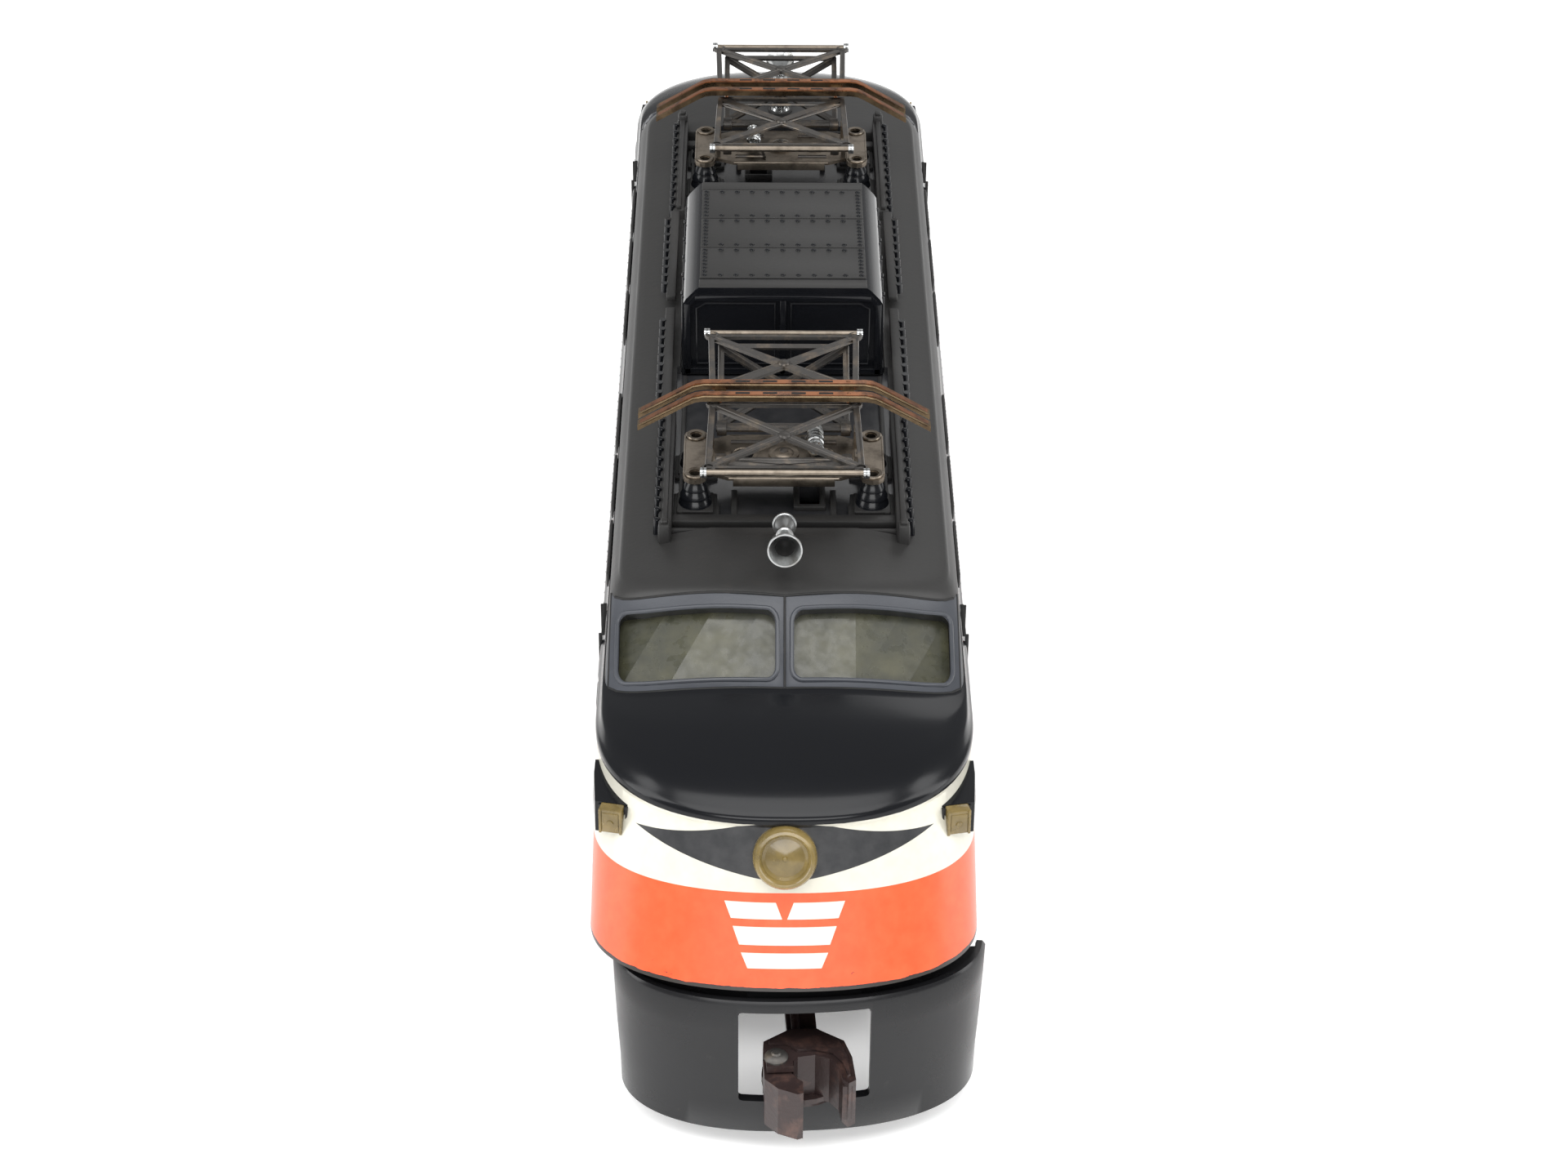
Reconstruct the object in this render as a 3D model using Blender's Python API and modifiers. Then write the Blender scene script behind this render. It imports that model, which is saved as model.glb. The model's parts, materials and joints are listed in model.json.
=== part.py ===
"""Three-rail O gauge model electric locomotive: moulded shell, two pantographs, two swivelling trucks.

The front faces -Y, +X is to the right of someone looking along +Y, and Z = 0 is under the wheel flanges.
Helpers take millimetres and write metres. The rear half repeats the front half turned half a turn about Z.
"""

import math

import bmesh
import bpy
from mathutils import Matrix, Vector

MM = 0.001
GAP = 0.35

# Shell
SHELL_BOTTOM = 32.0
SHELL_HALF_WIDTH = 30.4
BAND_BOTTOM = 46.3
BAND_TOP = 56.2
LIP_Z = 57.0
ROOF_TOP = 74.3
CAVITY_TOP = 68.3
WALL = 2.0
NOSE_STEPS = 11
SIDE_STEPS = 3
CROWN = 2.4
WELL_HALF_WIDTH = 19.0
WELL_FLOOR = 70.8
WELL_FRONT = 77.0
HATCH_HALF_LENGTH = 21.3
HATCH_HALF_WIDTH = 18.1
HATCH_TOP = 89.0
HATCH_FLAT_X = 15.0
HATCH_VOID_X = 14.0
HATCH_VOID_Y = 17.0
HEADLIGHT_Z = 52.0
HEADLIGHT_FACE = 138.4
HEADLIGHT_RAKE = 70.0
GLAZING_DEPTH = 2.2
SIDE_WINDOWS = (-93.0, -101.0)

# Pantograph, measured from its own centre
PANTO_Y = 60.0
FOOT_X = 15.0
FOOT_Y = 6.3
BASE_TOP = 77.6
BASE_PLATE = 0.9
PIVOT_Y = 5.5
PIVOT_Z = 79.6
KNEE_Y = 23.4
KNEE_Z = 88.2
HEAD_Z = 89.3
HEAD_Y = 1.2
SHOE_Y = 2.0
SHOE_HALF_LENGTH = 24.7
SHOE_KINK_X = 15.0
SHOE_TIP_DROP = 5.7
SHOE_RADIUS = 0.85

# Trucks, measured from the kingpin
KINGPIN_Y = 88.0
TRUCK_TURN = math.radians(3.2)
AXLE_Y = 23.0
AXLE_Z = 11.7
AXLE_RADIUS = 1.6
TREAD_RADIUS = 10.2
FLANGE_RADIUS = 11.7
WHEEL_INNER_X = 13.4
WHEEL_OUTER_X = 19.4
FLANGE_WIDTH = 1.5
PILOT_TOP = 30.0
PILOT_BOTTOM = 3.0
PILOT_APEX = 59.5
PILOT_HALF_WIDTH = 29.0
PILOT_WALL = 1.6
PILOT_FLARE = 1.035
OPENING_HALF_WIDTH = 10.5
OPENING_BOTTOM = 9.8
OPENING_TOP = 28.0

# Coupler, measured from the kingpin
DRAWBAR_PIVOT_Y = 16.0
WORM_RADIUS = 2.6
WORM_WHEEL_RADIUS = 6.2
HEAD_BACK = 54.0
HEAD_BOTTOM = 10.9
HEAD_TOP = 20.0
KNUCKLE_PIN = (-4.6, -60.6)
MOTOR_Y = AXLE_Y - WORM_WHEEL_RADIUS - WORM_RADIUS - 0.3

COLOURS = {
    "black_moulding": ((0.02, 0.021, 0.023, 1), 0.4, 0.0),
    "amber": ((0.45, 0.33, 0.08, 1), 0.15, 0.0),
    "zinc": ((0.55, 0.56, 0.57, 1), 0.3, 1.0),
    "nickel": ((0.42, 0.37, 0.31, 1), 0.4, 1.0),
    "dark_steel": ((0.1, 0.1, 0.1, 1), 0.5, 0.8),
    "copper": ((0.72, 0.31, 0.13, 1), 0.3, 1.0),
    "black_paint": ((0.025, 0.025, 0.027, 1), 0.45, 0.0),
    "cast_iron": ((0.06, 0.06, 0.065, 1), 0.55, 0.7),
    "coupler_brown": ((0.05, 0.035, 0.033, 1), 0.5, 0.4),
    "battery_wrap": ((0.25, 0.03, 0.02, 1), 0.4, 0.0),
    "brass": ((0.7, 0.5, 0.2, 1), 0.3, 1.0),
}

for old in list(bpy.data.objects):
    bpy.data.objects.remove(old, do_unlink=True)
MODEL = bpy.data.collections.new("model_electric_locomotive")
bpy.context.scene.collection.children.link(MODEL)


def material(slot):
    found = bpy.data.materials.get(slot)
    if found:
        return found
    colour, roughness, metallic = COLOURS[slot]
    made = bpy.data.materials.new(slot)
    made.use_nodes = True
    shader = made.node_tree.nodes["Principled BSDF"]
    shader.inputs["Base Color"].default_value = colour
    shader.inputs["Roughness"].default_value = roughness
    shader.inputs["Metallic"].default_value = metallic
    return made


# ---- shapes: each returns a new object with its mesh in metres ----


def from_bmesh(bm, name="shape"):
    bmesh.ops.recalc_face_normals(bm, faces=bm.faces)
    mesh = bpy.data.meshes.new(name)
    bm.to_mesh(mesh)
    bm.free()
    obj = bpy.data.objects.new(name, mesh)
    MODEL.objects.link(obj)
    return obj


def box(low, high):
    bm = bmesh.new()
    size = [(b - a) * MM for a, b in zip(low, high)]
    middle = [(a + b) / 2 * MM for a, b in zip(low, high)]
    bmesh.ops.create_cube(bm, size=1, matrix=Matrix.Translation(middle) @ Matrix.Diagonal((*size, 1)))
    return from_bmesh(bm)


def rod(start, end, radius, end_radius=None, sides=16):
    """A cylinder, or a cone frustum, between two points."""
    a, b = Vector(start) * MM, Vector(end) * MM
    turn = Vector((0, 0, 1)).rotation_difference(b - a).to_matrix().to_4x4()
    bm = bmesh.new()
    top = radius if end_radius is None else end_radius
    bmesh.ops.create_cone(bm, cap_ends=True, segments=sides, radius1=radius * MM, radius2=top * MM,
                          depth=(b - a).length, matrix=Matrix.Translation((a + b) / 2) @ turn)
    return from_bmesh(bm)


def hull(points):
    bm = bmesh.new()
    for point in points:
        bm.verts.new(Vector(point) * MM)
    bmesh.ops.convex_hull(bm, input=bm.verts)
    loose = [v for v in bm.verts if not v.link_faces]
    bmesh.ops.delete(bm, geom=loose, context="VERTS")
    return from_bmesh(bm)


def as_mesh(obj, merge=0.000001):
    """The object's evaluated shape as a plain mesh object in the same place."""
    bpy.context.view_layer.update()
    evaluated = obj.evaluated_get(bpy.context.evaluated_depsgraph_get())
    mesh = bpy.data.meshes.new_from_object(evaluated)
    mesh.transform(obj.matrix_world)
    bm = bmesh.new()
    bm.from_mesh(mesh)
    bmesh.ops.remove_doubles(bm, verts=bm.verts, dist=merge)
    bm.to_mesh(mesh)
    bm.free()
    made = bpy.data.objects.new("shape", mesh)
    MODEL.objects.link(made)
    bpy.data.objects.remove(obj, do_unlink=True)
    return made


def plate(outlines, low, high):
    """Flat outlines in XY, inner ones as holes, extruded from low to high along Z."""
    curve = bpy.data.curves.new("plate", "CURVE")
    curve.dimensions = "2D"
    curve.fill_mode = "BOTH"
    curve.extrude = (high - low) / 2 * MM
    for outline in outlines:
        spline = curve.splines.new("POLY")
        spline.points.add(len(outline) - 1)
        for point, (x, y) in zip(spline.points, outline):
            point.co = (x * MM, y * MM, 0, 1)
        spline.use_cyclic_u = True
    obj = bpy.data.objects.new("plate", curve)
    obj.location.z = (low + high) / 2 * MM
    MODEL.objects.link(obj)
    made = as_mesh(obj)
    bm = bmesh.new()
    bm.from_mesh(made.data)
    bmesh.ops.recalc_face_normals(bm, faces=bm.faces)
    bm.to_mesh(made.data)
    bm.free()
    return made


def wire(points, radius, resolution=2, cyclic=False):
    curve = bpy.data.curves.new("wire", "CURVE")
    curve.dimensions = "3D"
    curve.bevel_depth = radius * MM
    curve.bevel_resolution = resolution
    curve.use_fill_caps = True
    spline = curve.splines.new("POLY")
    spline.points.add(len(points) - 1)
    for point, where in zip(spline.points, points):
        point.co = (*(Vector(where) * MM), 1)
    spline.use_cyclic_u = cyclic
    obj = bpy.data.objects.new("wire", curve)
    MODEL.objects.link(obj)
    made = as_mesh(obj)
    bm = bmesh.new()
    bm.from_mesh(made.data)
    bmesh.ops.recalc_face_normals(bm, faces=bm.faces)
    bm.to_mesh(made.data)
    bm.free()
    return made


def turned(profile, steps=20):
    """A solid of revolution about Z from (radius, z) points, listed from the top of the axis to its foot."""
    mesh = bpy.data.meshes.new("profile")
    mesh.from_pydata([(r * MM, 0, z * MM) for r, z in profile],
                     [(i, i + 1) for i in range(len(profile) - 1)], [])
    obj = bpy.data.objects.new("profile", mesh)
    MODEL.objects.link(obj)
    screw = obj.modifiers.new("turn", "SCREW")
    screw.steps = steps
    screw.render_steps = steps
    screw.use_merge_vertices = True
    screw.merge_threshold = 0.000001
    made = as_mesh(obj)
    bm = bmesh.new()
    bm.from_mesh(made.data)
    bmesh.ops.recalc_face_normals(bm, faces=bm.faces)
    bm.to_mesh(made.data)
    bm.free()
    return made


def moved(obj, matrix):
    obj.data.transform(matrix)
    return obj


def shift(x, y, z):
    return Matrix.Translation(Vector((x, y, z)) * MM)


def turn(degrees, axis):
    return Matrix.Rotation(math.radians(degrees), 4, axis)


def combined(target, others, operation):
    for other in others:
        modifier = target.modifiers.new(operation, "BOOLEAN")
        modifier.operation = operation
        modifier.object = other
        modifier.solver = "EXACT"
        made = as_mesh(target)
        bpy.data.objects.remove(other, do_unlink=True)
        target = made
    return target


def joined(target, *others):
    return combined(target, others, "UNION")


def cut(target, *others):
    return combined(target, others, "DIFFERENCE")


def node(name, obj, slot, parent=None):
    """Names a finished solid, gives it its material and keeps it in place under its parent empty."""
    obj.name = name
    obj.data.name = name
    obj.data.materials.clear()
    obj.data.materials.append(material(slot))
    obj.data.shade_smooth()
    obj.data.set_sharp_from_angle(angle=math.radians(35))
    if parent:
        obj.data.transform(parent.matrix_world.inverted())
        obj.parent = parent
    return obj


def pivot(name, where, turned_by=None):
    """An empty on a joint's axis, which the joint's pieces hang from."""
    empty = bpy.data.objects.new(name, None)
    empty.empty_display_size = 5 * MM
    MODEL.objects.link(empty)
    empty.matrix_world = (turned_by or Matrix()) @ shift(*where)
    bpy.context.view_layer.update()
    return empty


# ---- shell ----


def quarter(half_width, apex, side_start, power, sweep):
    """Plan outline from the nose round to the side's middle. The nose falls back by sweep for each unit of X."""
    points = []
    for step in range(NOSE_STEPS + 1):
        angle = math.pi / 2 * step / NOSE_STEPS
        x = half_width * math.sin(angle) ** (2 / power)
        y = side_start + (apex - side_start) * max(math.cos(angle), 0) ** (2 / power)
        points.append((x, (y if step < NOSE_STEPS else side_start) - sweep * x))
    last = points[-1][1]
    for step in range(1, SIDE_STEPS + 1):
        points.append((half_width, last * (1 - step / SIDE_STEPS)))
    return points


def ring(half_width, apex, side_start, power, middle_z, edge_z, sweep=0.0):
    """A closed outline all round the shell, falling from middle_z at X = 0 to edge_z at the sides."""
    first = quarter(half_width, apex, side_start, power, sweep)
    right = [(x, -y) for x, y in first] + [(x, y) for x, y in reversed(first[:-1])]
    loop = right + [(-x, y) for x, y in reversed(right[1:-1])]
    drop = middle_z - edge_z
    return [(x, y, middle_z - drop * (abs(x) / half_width) ** CROWN) for x, y in loop]


def loft(rings):
    bm = bmesh.new()
    rows = [[bm.verts.new(Vector(p) * MM) for p in each] for each in rings]
    count = len(rows[0])
    for low, high in zip(rows, rows[1:]):
        for i in range(count):
            j = (i + 1) % count
            bm.faces.new((low[i], low[j], high[j], high[i]))
    bm.faces.new(list(reversed(rows[0])))
    # The top is closed by strips from side to side.
    top = rows[-1]
    half = count // 2
    for i in range(half):
        a, b = top[i], top[i + 1]
        c, d = top[(count - i - 1) % count], top[(count - i) % count]
        corners = []
        for v in (a, b, c, d):
            if v not in corners:
                corners.append(v)
        bm.faces.new(corners)
    return from_bmesh(bm)


BASE_RING = (29.2, 110.6, 98.0, 6.0, 64.4, 61.0, 0.04)
BROW_RING = (28.8, 98.0, 84.5, 6.0, 73.7, 67.4, 0.18)


def outer_rings():
    """Foot, nose face, lip, hood, windshield, brow and roof, from the bottom up."""
    half = SHELL_HALF_WIDTH
    return [
        ring(half + 0.6, 147.0, 129.0, 2.3, SHELL_BOTTOM, SHELL_BOTTOM),
        ring(half + 0.1, 140.5, 119.5, 2.35, BAND_BOTTOM, BAND_BOTTOM),
        ring(half - 0.2, 136.6, 108.7, 2.45, BAND_TOP, BAND_TOP),
        ring(half, 137.0, 108.5, 2.45, LIP_Z, LIP_Z),
        ring(half, 136.6, 108.4, 2.45, LIP_Z + 1.1, LIP_Z + 1.1),
        ring(half - 0.4, 135.2, 108.2, 2.45, LIP_Z + 2.0, LIP_Z + 1.8),
        ring(half - 0.7, 132.4, 108.0, 2.5, LIP_Z + 3.4, LIP_Z + 2.5),
        ring(half - 0.8, 128.0, 107.0, 2.6, LIP_Z + 4.9, LIP_Z + 3.2),
        ring(half - 0.9, 119.5, 103.0, 3.2, LIP_Z + 6.7, LIP_Z + 3.8),
        ring(*BASE_RING),
        ring(*BROW_RING),
        ring(27.6, 96.4, 83.0, 6.0, 74.2, 69.3, 0.17),
        ring(25.6, 92.0, 80.0, 4.0, ROOF_TOP, 70.7, 0.1),
        ring(14.0, 80.0, 70.0, 3.0, ROOF_TOP, 73.4),
    ]


def cavity_rings():
    half = SHELL_HALF_WIDTH - WALL
    return [
        ring(half + 0.5, 144.4, 128.0, 2.3, SHELL_BOTTOM - 1, SHELL_BOTTOM - 1),
        ring(half, 138.0, 119.0, 2.35, BAND_BOTTOM, BAND_BOTTOM),
        ring(half - 0.2, 134.2, 108.7, 2.45, LIP_Z - 0.8, LIP_Z - 1.0),
        ring(half - 1.0, 118.0, 101.0, 3.2, 61.4, 58.6),
        ring(half - 1.6, 107.0, 96.0, 5.0, 61.8, 59.8),
        ring(half - 2.8, 97.0, 84.0, 4.0, CAVITY_TOP, 65.6, 0.1),
        ring(half - 8.0, 90.0, 80.0, 3.0, CAVITY_TOP, 67.6, 0.1),
    ]


def on_ring(x, shape):
    """The front point of a ring at a given X, and its height."""
    half_width, apex, side_start, power, middle_z, edge_z, sweep = shape
    share = min(abs(x) / half_width, 1)
    y = side_start + (apex - side_start) * (1 - share**power) ** (1 / power) - sweep * abs(x)
    return Vector((x, -y, middle_z - (middle_z - edge_z) * share**CROWN))


def windshield_point(x, rise, depth=0.0):
    """A point of the sloping windshield, pushed in along its normal by depth."""
    low, high = on_ring(x, BASE_RING), on_ring(x, BROW_RING)
    slope = (on_ring(0, BROW_RING) - on_ring(0, BASE_RING)).normalized()
    inward = Vector((0, slope.z, -slope.y))
    return low.lerp(high, rise) + inward * depth


def windshield_block(x_low, x_high, rise_low, rise_high, near, far, corner=0.0, steps=7):
    """A curved slab that follows the windshield, with its corners rounded by `corner` in X."""
    outline = []
    for i in range(steps + 1):
        outline.append((x_low + corner + (x_high - x_low - 2 * corner) * i / steps, rise_low))
    if corner:
        outline += [(x_high, rise_low + 0.09), (x_high, rise_high - 0.09)]
    for i in range(steps + 1):
        outline.append((x_high - corner - (x_high - x_low - 2 * corner) * i / steps, rise_high))
    if corner:
        outline += [(x_low, rise_high - 0.09), (x_low, rise_low + 0.09)]
    bm = bmesh.new()
    fronts = [bm.verts.new(windshield_point(x, t, near) * MM) for x, t in outline]
    backs = [bm.verts.new(windshield_point(x, t, far) * MM) for x, t in outline]
    count = len(outline)
    for i in range(count):
        j = (i + 1) % count
        bm.faces.new((fronts[i], fronts[j], backs[j], backs[i]))
    # Both faces are strips between the lower edge and the upper one.
    lower = steps + 1
    pairs = [(i, lower + (2 if corner else 0) + steps - i) for i in range(steps + 1)]
    for side in (fronts, backs):
        for (a, d), (b, c) in zip(pairs, pairs[1:]):
            bm.faces.new((side[a], side[b], side[c], side[d]))
        if corner:
            bm.faces.new((side[steps], side[steps + 1], side[steps + 2], side[steps + 3]))
            bm.faces.new((side[count - 3], side[count - 2], side[count - 1], side[0]))
    return from_bmesh(bm)


def insulator(x, y):
    """A post of stacked cones on a square pad."""
    profile = [(0, BASE_TOP - BASE_PLATE - GAP), (1.5, BASE_TOP - BASE_PLATE - GAP), (2.2, 74.6), (1.9, 74.4),
               (2.6, 72.9), (2.3, 72.7), (3.1, WELL_FLOOR + 0.7), (0, WELL_FLOOR - 0.6)]
    post = moved(turned(profile, 12), shift(x, y, 0))
    pad = box((x - 3.6, y - 3.6, WELL_FLOOR - 0.8), (x + 3.6, y + 3.6, WELL_FLOOR + 0.8))
    return [pad, post]


def nose_marker_frame(side):
    """Where a marker lens stands on the nose corner, with -Y of the frame pointing out of the shell."""
    return shift(side * 27.0, -127.9, 51.9) @ turn(side * 12, "Z")


def headlight_place():
    """The headlight's seat on the raked nose, with +Z pointing out along its axis."""
    return shift(0, -HEADLIGHT_FACE, HEADLIGHT_Z) @ turn(HEADLIGHT_RAKE, "X")


def end_details(end):
    """Cutters, added pieces and lens pockets of one end of the shell, end being the half turn that places it."""
    cutters = []
    pockets = []
    for low, high in ((2.0, 26.6), (-26.6, -2.0)):
        cutters.append(windshield_block(low, high, 0.1, 0.84, -3, GLAZING_DEPTH + 1, 1.2))
    cutters.append(windshield_block(-27.2, 27.2, 0.03, 0.9, GLAZING_DEPTH - 0.35, 8.5))
    cutters.append(moved(rod((0, 0, -8), (0, 0, 4), 4.3, sides=20), headlight_place()))
    cutters.append(box((-WELL_HALF_WIDTH, -WELL_FRONT, WELL_FLOOR), (WELL_HALF_WIDTH, -HATCH_HALF_LENGTH + 1, 80)))
    cutters.append(box((2.7, -66.2, 60), (6.1, -59.2, 80)))
    for y in SIDE_WINDOWS:
        cutters.append(box((-40, y - 2.6, 49.0), (40, y + 2.6, 56.5)))
    added = []
    for x in (-FOOT_X, FOOT_X):
        for y in (-PANTO_Y - FOOT_Y, -PANTO_Y + FOOT_Y):
            added += insulator(x, y)
    for side in (-1, 1):
        rail_x = side * 19.9
        added.append(box((rail_x - 1.2, -79.0, 69.8), (rail_x + 1.2, -38.0, 75.0)))
        added.append(hull([(side * x, y, z) for x, y, z in MARKER_FAIRING]))
        pockets.append(moved(box((-2.15, -3.2, -2.25), (2.15, 1.75, 2.25)), nose_marker_frame(side)))
        gutter = box((min(side * 28.8, side * 30.3), -82, 62.0), (max(side * 28.8, side * 30.3), 1, 63.1))
        added.append(gutter)
    added.append(box((-18.9, -73.0, 70.2), (18.9, -70.6, 72.4)))
    for piece in cutters + added + pockets:
        moved(piece, end)
    return cutters, added, pockets


def hatch():
    """The roof hatch: a hollow cover with chamfered long edges, standing in its seat on the roof."""
    half_x, half_y, top, foot = HATCH_HALF_WIDTH, HATCH_HALF_LENGTH, HATCH_TOP, WELL_FLOOR + GAP
    points = []
    for x in (-1, 1):
        for y in (-1, 1):
            points.append((x * half_x, y * half_y, foot))
            points.append((x * (half_x - 0.3), y * (half_y - 0.2), top - 3.2))
            points.append((x * HATCH_FLAT_X, y * (half_y - 0.4), top))
    inside = box((-half_x + 2.6, -half_y + 2.0, foot - 1), (half_x - 2.6, half_y - 2.0, top - 4.0))
    return cut(hull(points), inside)


# Corners of the block behind a marker lens: its front face, then its tail on the shell's side
MARKER_FAIRING = (
    (24.2, -128.8, 54.6), (29.9, -127.6, 54.6), (24.2, -129.3, 49.2), (29.9, -128.1, 49.2), (30.3, -120.5, 55.0),
    (30.2, -117.5, 55.3), (28.0, -117.5, 55.3), (30.6, -117.5, 51.0), (28.4, -117.5, 51.0), (30.6, -121.0, 50.4),
)
FRONT = Matrix()
REAR = turn(180, "Z")
ENDS = (("front", FRONT), ("rear", REAR))


def build_shell():
    shell = cut(loft(outer_rings()), loft(cavity_rings()))
    cutters = []
    added = []
    pockets = []
    for _, end in ENDS:
        cuts, adds, lens_pockets = end_details(end)
        cutters += cuts
        added += adds
        pockets += lens_pockets
    seat_x, seat_y = HATCH_HALF_WIDTH + GAP, HATCH_HALF_LENGTH + GAP
    cutters.append(box((-seat_x, -seat_y, WELL_FLOOR), (seat_x, seat_y, 80)))
    cutters.append(box((-HATCH_VOID_X, -HATCH_VOID_Y, 60), (HATCH_VOID_X, HATCH_VOID_Y, 80)))
    # The lens pockets are cut last, out of the fairings that are added for them.
    shell = cut(joined(cut(shell, *cutters), *added), *pockets)
    node("body_shell", shell, "black_moulding")
    node("roof_hatch", hatch(), "black_moulding")


def build_shell_fittings():
    for end_name, end in ENDS:
        glazing = windshield_block(-26.9, 26.9, 0.05, 0.88, GLAZING_DEPTH, GLAZING_DEPTH + 1.0)
        node(f"windshield_{end_name}", moved(glazing, end), "amber")
        profile = [(0, 1.2), (3.5, 1.2), (3.8, 2.2), (4.6, 2.2), (5.0, 1.6), (5.0, GAP), (3.9, GAP), (3.9, -3.4)]
        profile.append((0, -3.4))
        lens = moved(turned(profile, 24), headlight_place())
        node(f"headlight_lens_{end_name}", moved(lens, end), "amber")
        for side_name, side in (("left", -1), ("right", 1)):
            lens = moved(box((-1.8, -2.1, -1.9), (1.8, 1.4, 1.9)), end @ nose_marker_frame(side))
            node(f"marker_lens_{end_name}_{side_name}", lens, "amber")
        node(f"horn_{end_name}", moved(horn(), end), "zinc")


def horn():
    """A short post, a round body and a bell that flares forwards and up."""
    bell = [(0, 14.0), (1.6, 14.2), (2.9, 15.6), (3.2, 15.3), (2.1, 13.4), (1.35, 11.0), (1.3, 7.5), (2.2, 6.4),
            (2.55, 4.6), (2.3, 2.8), (1.2, 1.6), (0, 1.4)]
    body = moved(turned(bell, 20), shift(0, -79.6, 77.2) @ turn(78, "X"))
    post = rod((0, -83.0, 74.9), (0, -83.0, 78.0), 1.5, sides=12)
    return joined(body, post)


# ---- pantographs ----


def panto_matrix(end):
    return end @ shift(0, -PANTO_Y, 0)


def stadium(x, y_low, y_high, radius, steps=6):
    points = []
    for i in range(steps + 1):
        a = math.pi * i / steps
        points.append((x + radius * math.cos(a), y_high + radius * math.sin(a)))
    for i in range(steps + 1):
        a = math.pi + math.pi * i / steps
        points.append((x + radius * math.cos(a), y_low + radius * math.sin(a)))
    return points


def circle(x, y, radius, steps=12):
    return [(x + radius * math.cos(2 * math.pi * i / steps), y + radius * math.sin(2 * math.pi * i / steps))
            for i in range(steps)]


def panto_base():
    """Stamped base: two side strips with a hole over each insulator, folded ears, and a slotted middle."""
    low, high = BASE_TOP - BASE_PLATE, BASE_TOP
    strips = []
    for side in (-1, 1):
        holes = [circle(side * FOOT_X, y, 0.9, 10) for y in (-FOOT_Y, FOOT_Y)]
        strips.append(plate([stadium(side * FOOT_X, -FOOT_Y, FOOT_Y, 2.05)] + holes, low, high))
    middle_outline = [(-13.4, -5.0), (-9.5, -7.0), (9.5, -7.0), (13.4, -5.0), (13.4, 5.0), (9.5, 7.0), (-9.5, 7.0)]
    middle_outline.append((-13.4, 5.0))
    middle = plate([middle_outline, circle(-6.8, 0.6, 1.7), circle(6.8, 0.6, 1.7)], low, high - 0.25)
    boss = rod((0, 0, low + 0.2), (0, 0, high + 0.45), 2.6, sides=16)
    ears = [box((side * 12.35 - 0.4, y - 1.3, low + 0.1), (side * 12.35 + 0.4, y + 1.3, PIVOT_Z + 0.9))
            for side in (-1, 1) for y in (-PIVOT_Y + 1.4, PIVOT_Y - 1.4)]
    return joined(middle, *strips, boss, *ears)


def braced_frame(near_half, far_half, length, bar, brace):
    """Flat stamped frame, near edge at Y = 0 and far edge at Y = length, with a crossed brace in four openings."""
    outer = [(-near_half, 0), (near_half, 0), (far_half, length), (-far_half, length)]
    cross = Vector((0, length * near_half / (near_half + far_half)))
    corners = [Vector((-near_half + bar, bar)), Vector((near_half - bar, bar)),
               Vector((far_half - bar, length - bar)), Vector((-far_half + bar, length - bar))]
    holes = []
    for i in range(4):
        a, b = corners[i], corners[(i + 1) % 4]
        middle = (a + b) / 2
        inward = (cross - middle).normalized()
        tip = cross - inward * brace * 1.5
        along = (b - a).normalized()
        shrink = brace * 1.35
        holes.append([tuple(a + along * shrink), tuple(b - along * shrink), tuple(tip)])
    return [outer] + holes


def arm(points_from, points_to, near_half, far_half, bar, brace, thickness, trim_near, trim_far):
    """A braced frame laid from one pivot line to the other, both given as (y, z)."""
    start, end = Vector(points_from), Vector(points_to)
    along = end - start
    length = along.length - trim_near - trim_far
    flat = plate(braced_frame(near_half, far_half, length, bar, brace), -thickness / 2, thickness / 2)
    angle = math.atan2(along.y, along.x)
    place = shift(0, start.x, start.y) @ Matrix.Rotation(angle, 4, "X") @ shift(0, trim_near, 0)
    return moved(flat, place)


def collector_head():
    """Two bent contact bars tied by straps under them."""
    top = HEAD_Z + 1.0
    bars = []
    for y in (-SHOE_Y, SHOE_Y):
        path = [(-SHOE_HALF_LENGTH, y, top - SHOE_TIP_DROP), (-SHOE_KINK_X, y, top), (SHOE_KINK_X, y, top),
                (SHOE_HALF_LENGTH, y, top - SHOE_TIP_DROP)]
        bars.append(wire(path, SHOE_RADIUS, 2))
    straps = [box((x - 1.0, -SHOE_Y, top - 0.45), (x + 1.0, SHOE_Y, top + 0.45)) for x in (-10.8, 10.8)]
    return joined(bars[0], *straps, bars[1])


def coil_spring(x, y_low, y_high, z, radius, wire_radius, coils):
    points = []
    steps = coils * 7
    for i in range(steps + 1):
        a = 2 * math.pi * i / 7
        points.append((x + radius * math.cos(a), y_low + (y_high - y_low) * i / steps, z + radius * math.sin(a)))
    return wire(points, wire_radius, 0)


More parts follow.
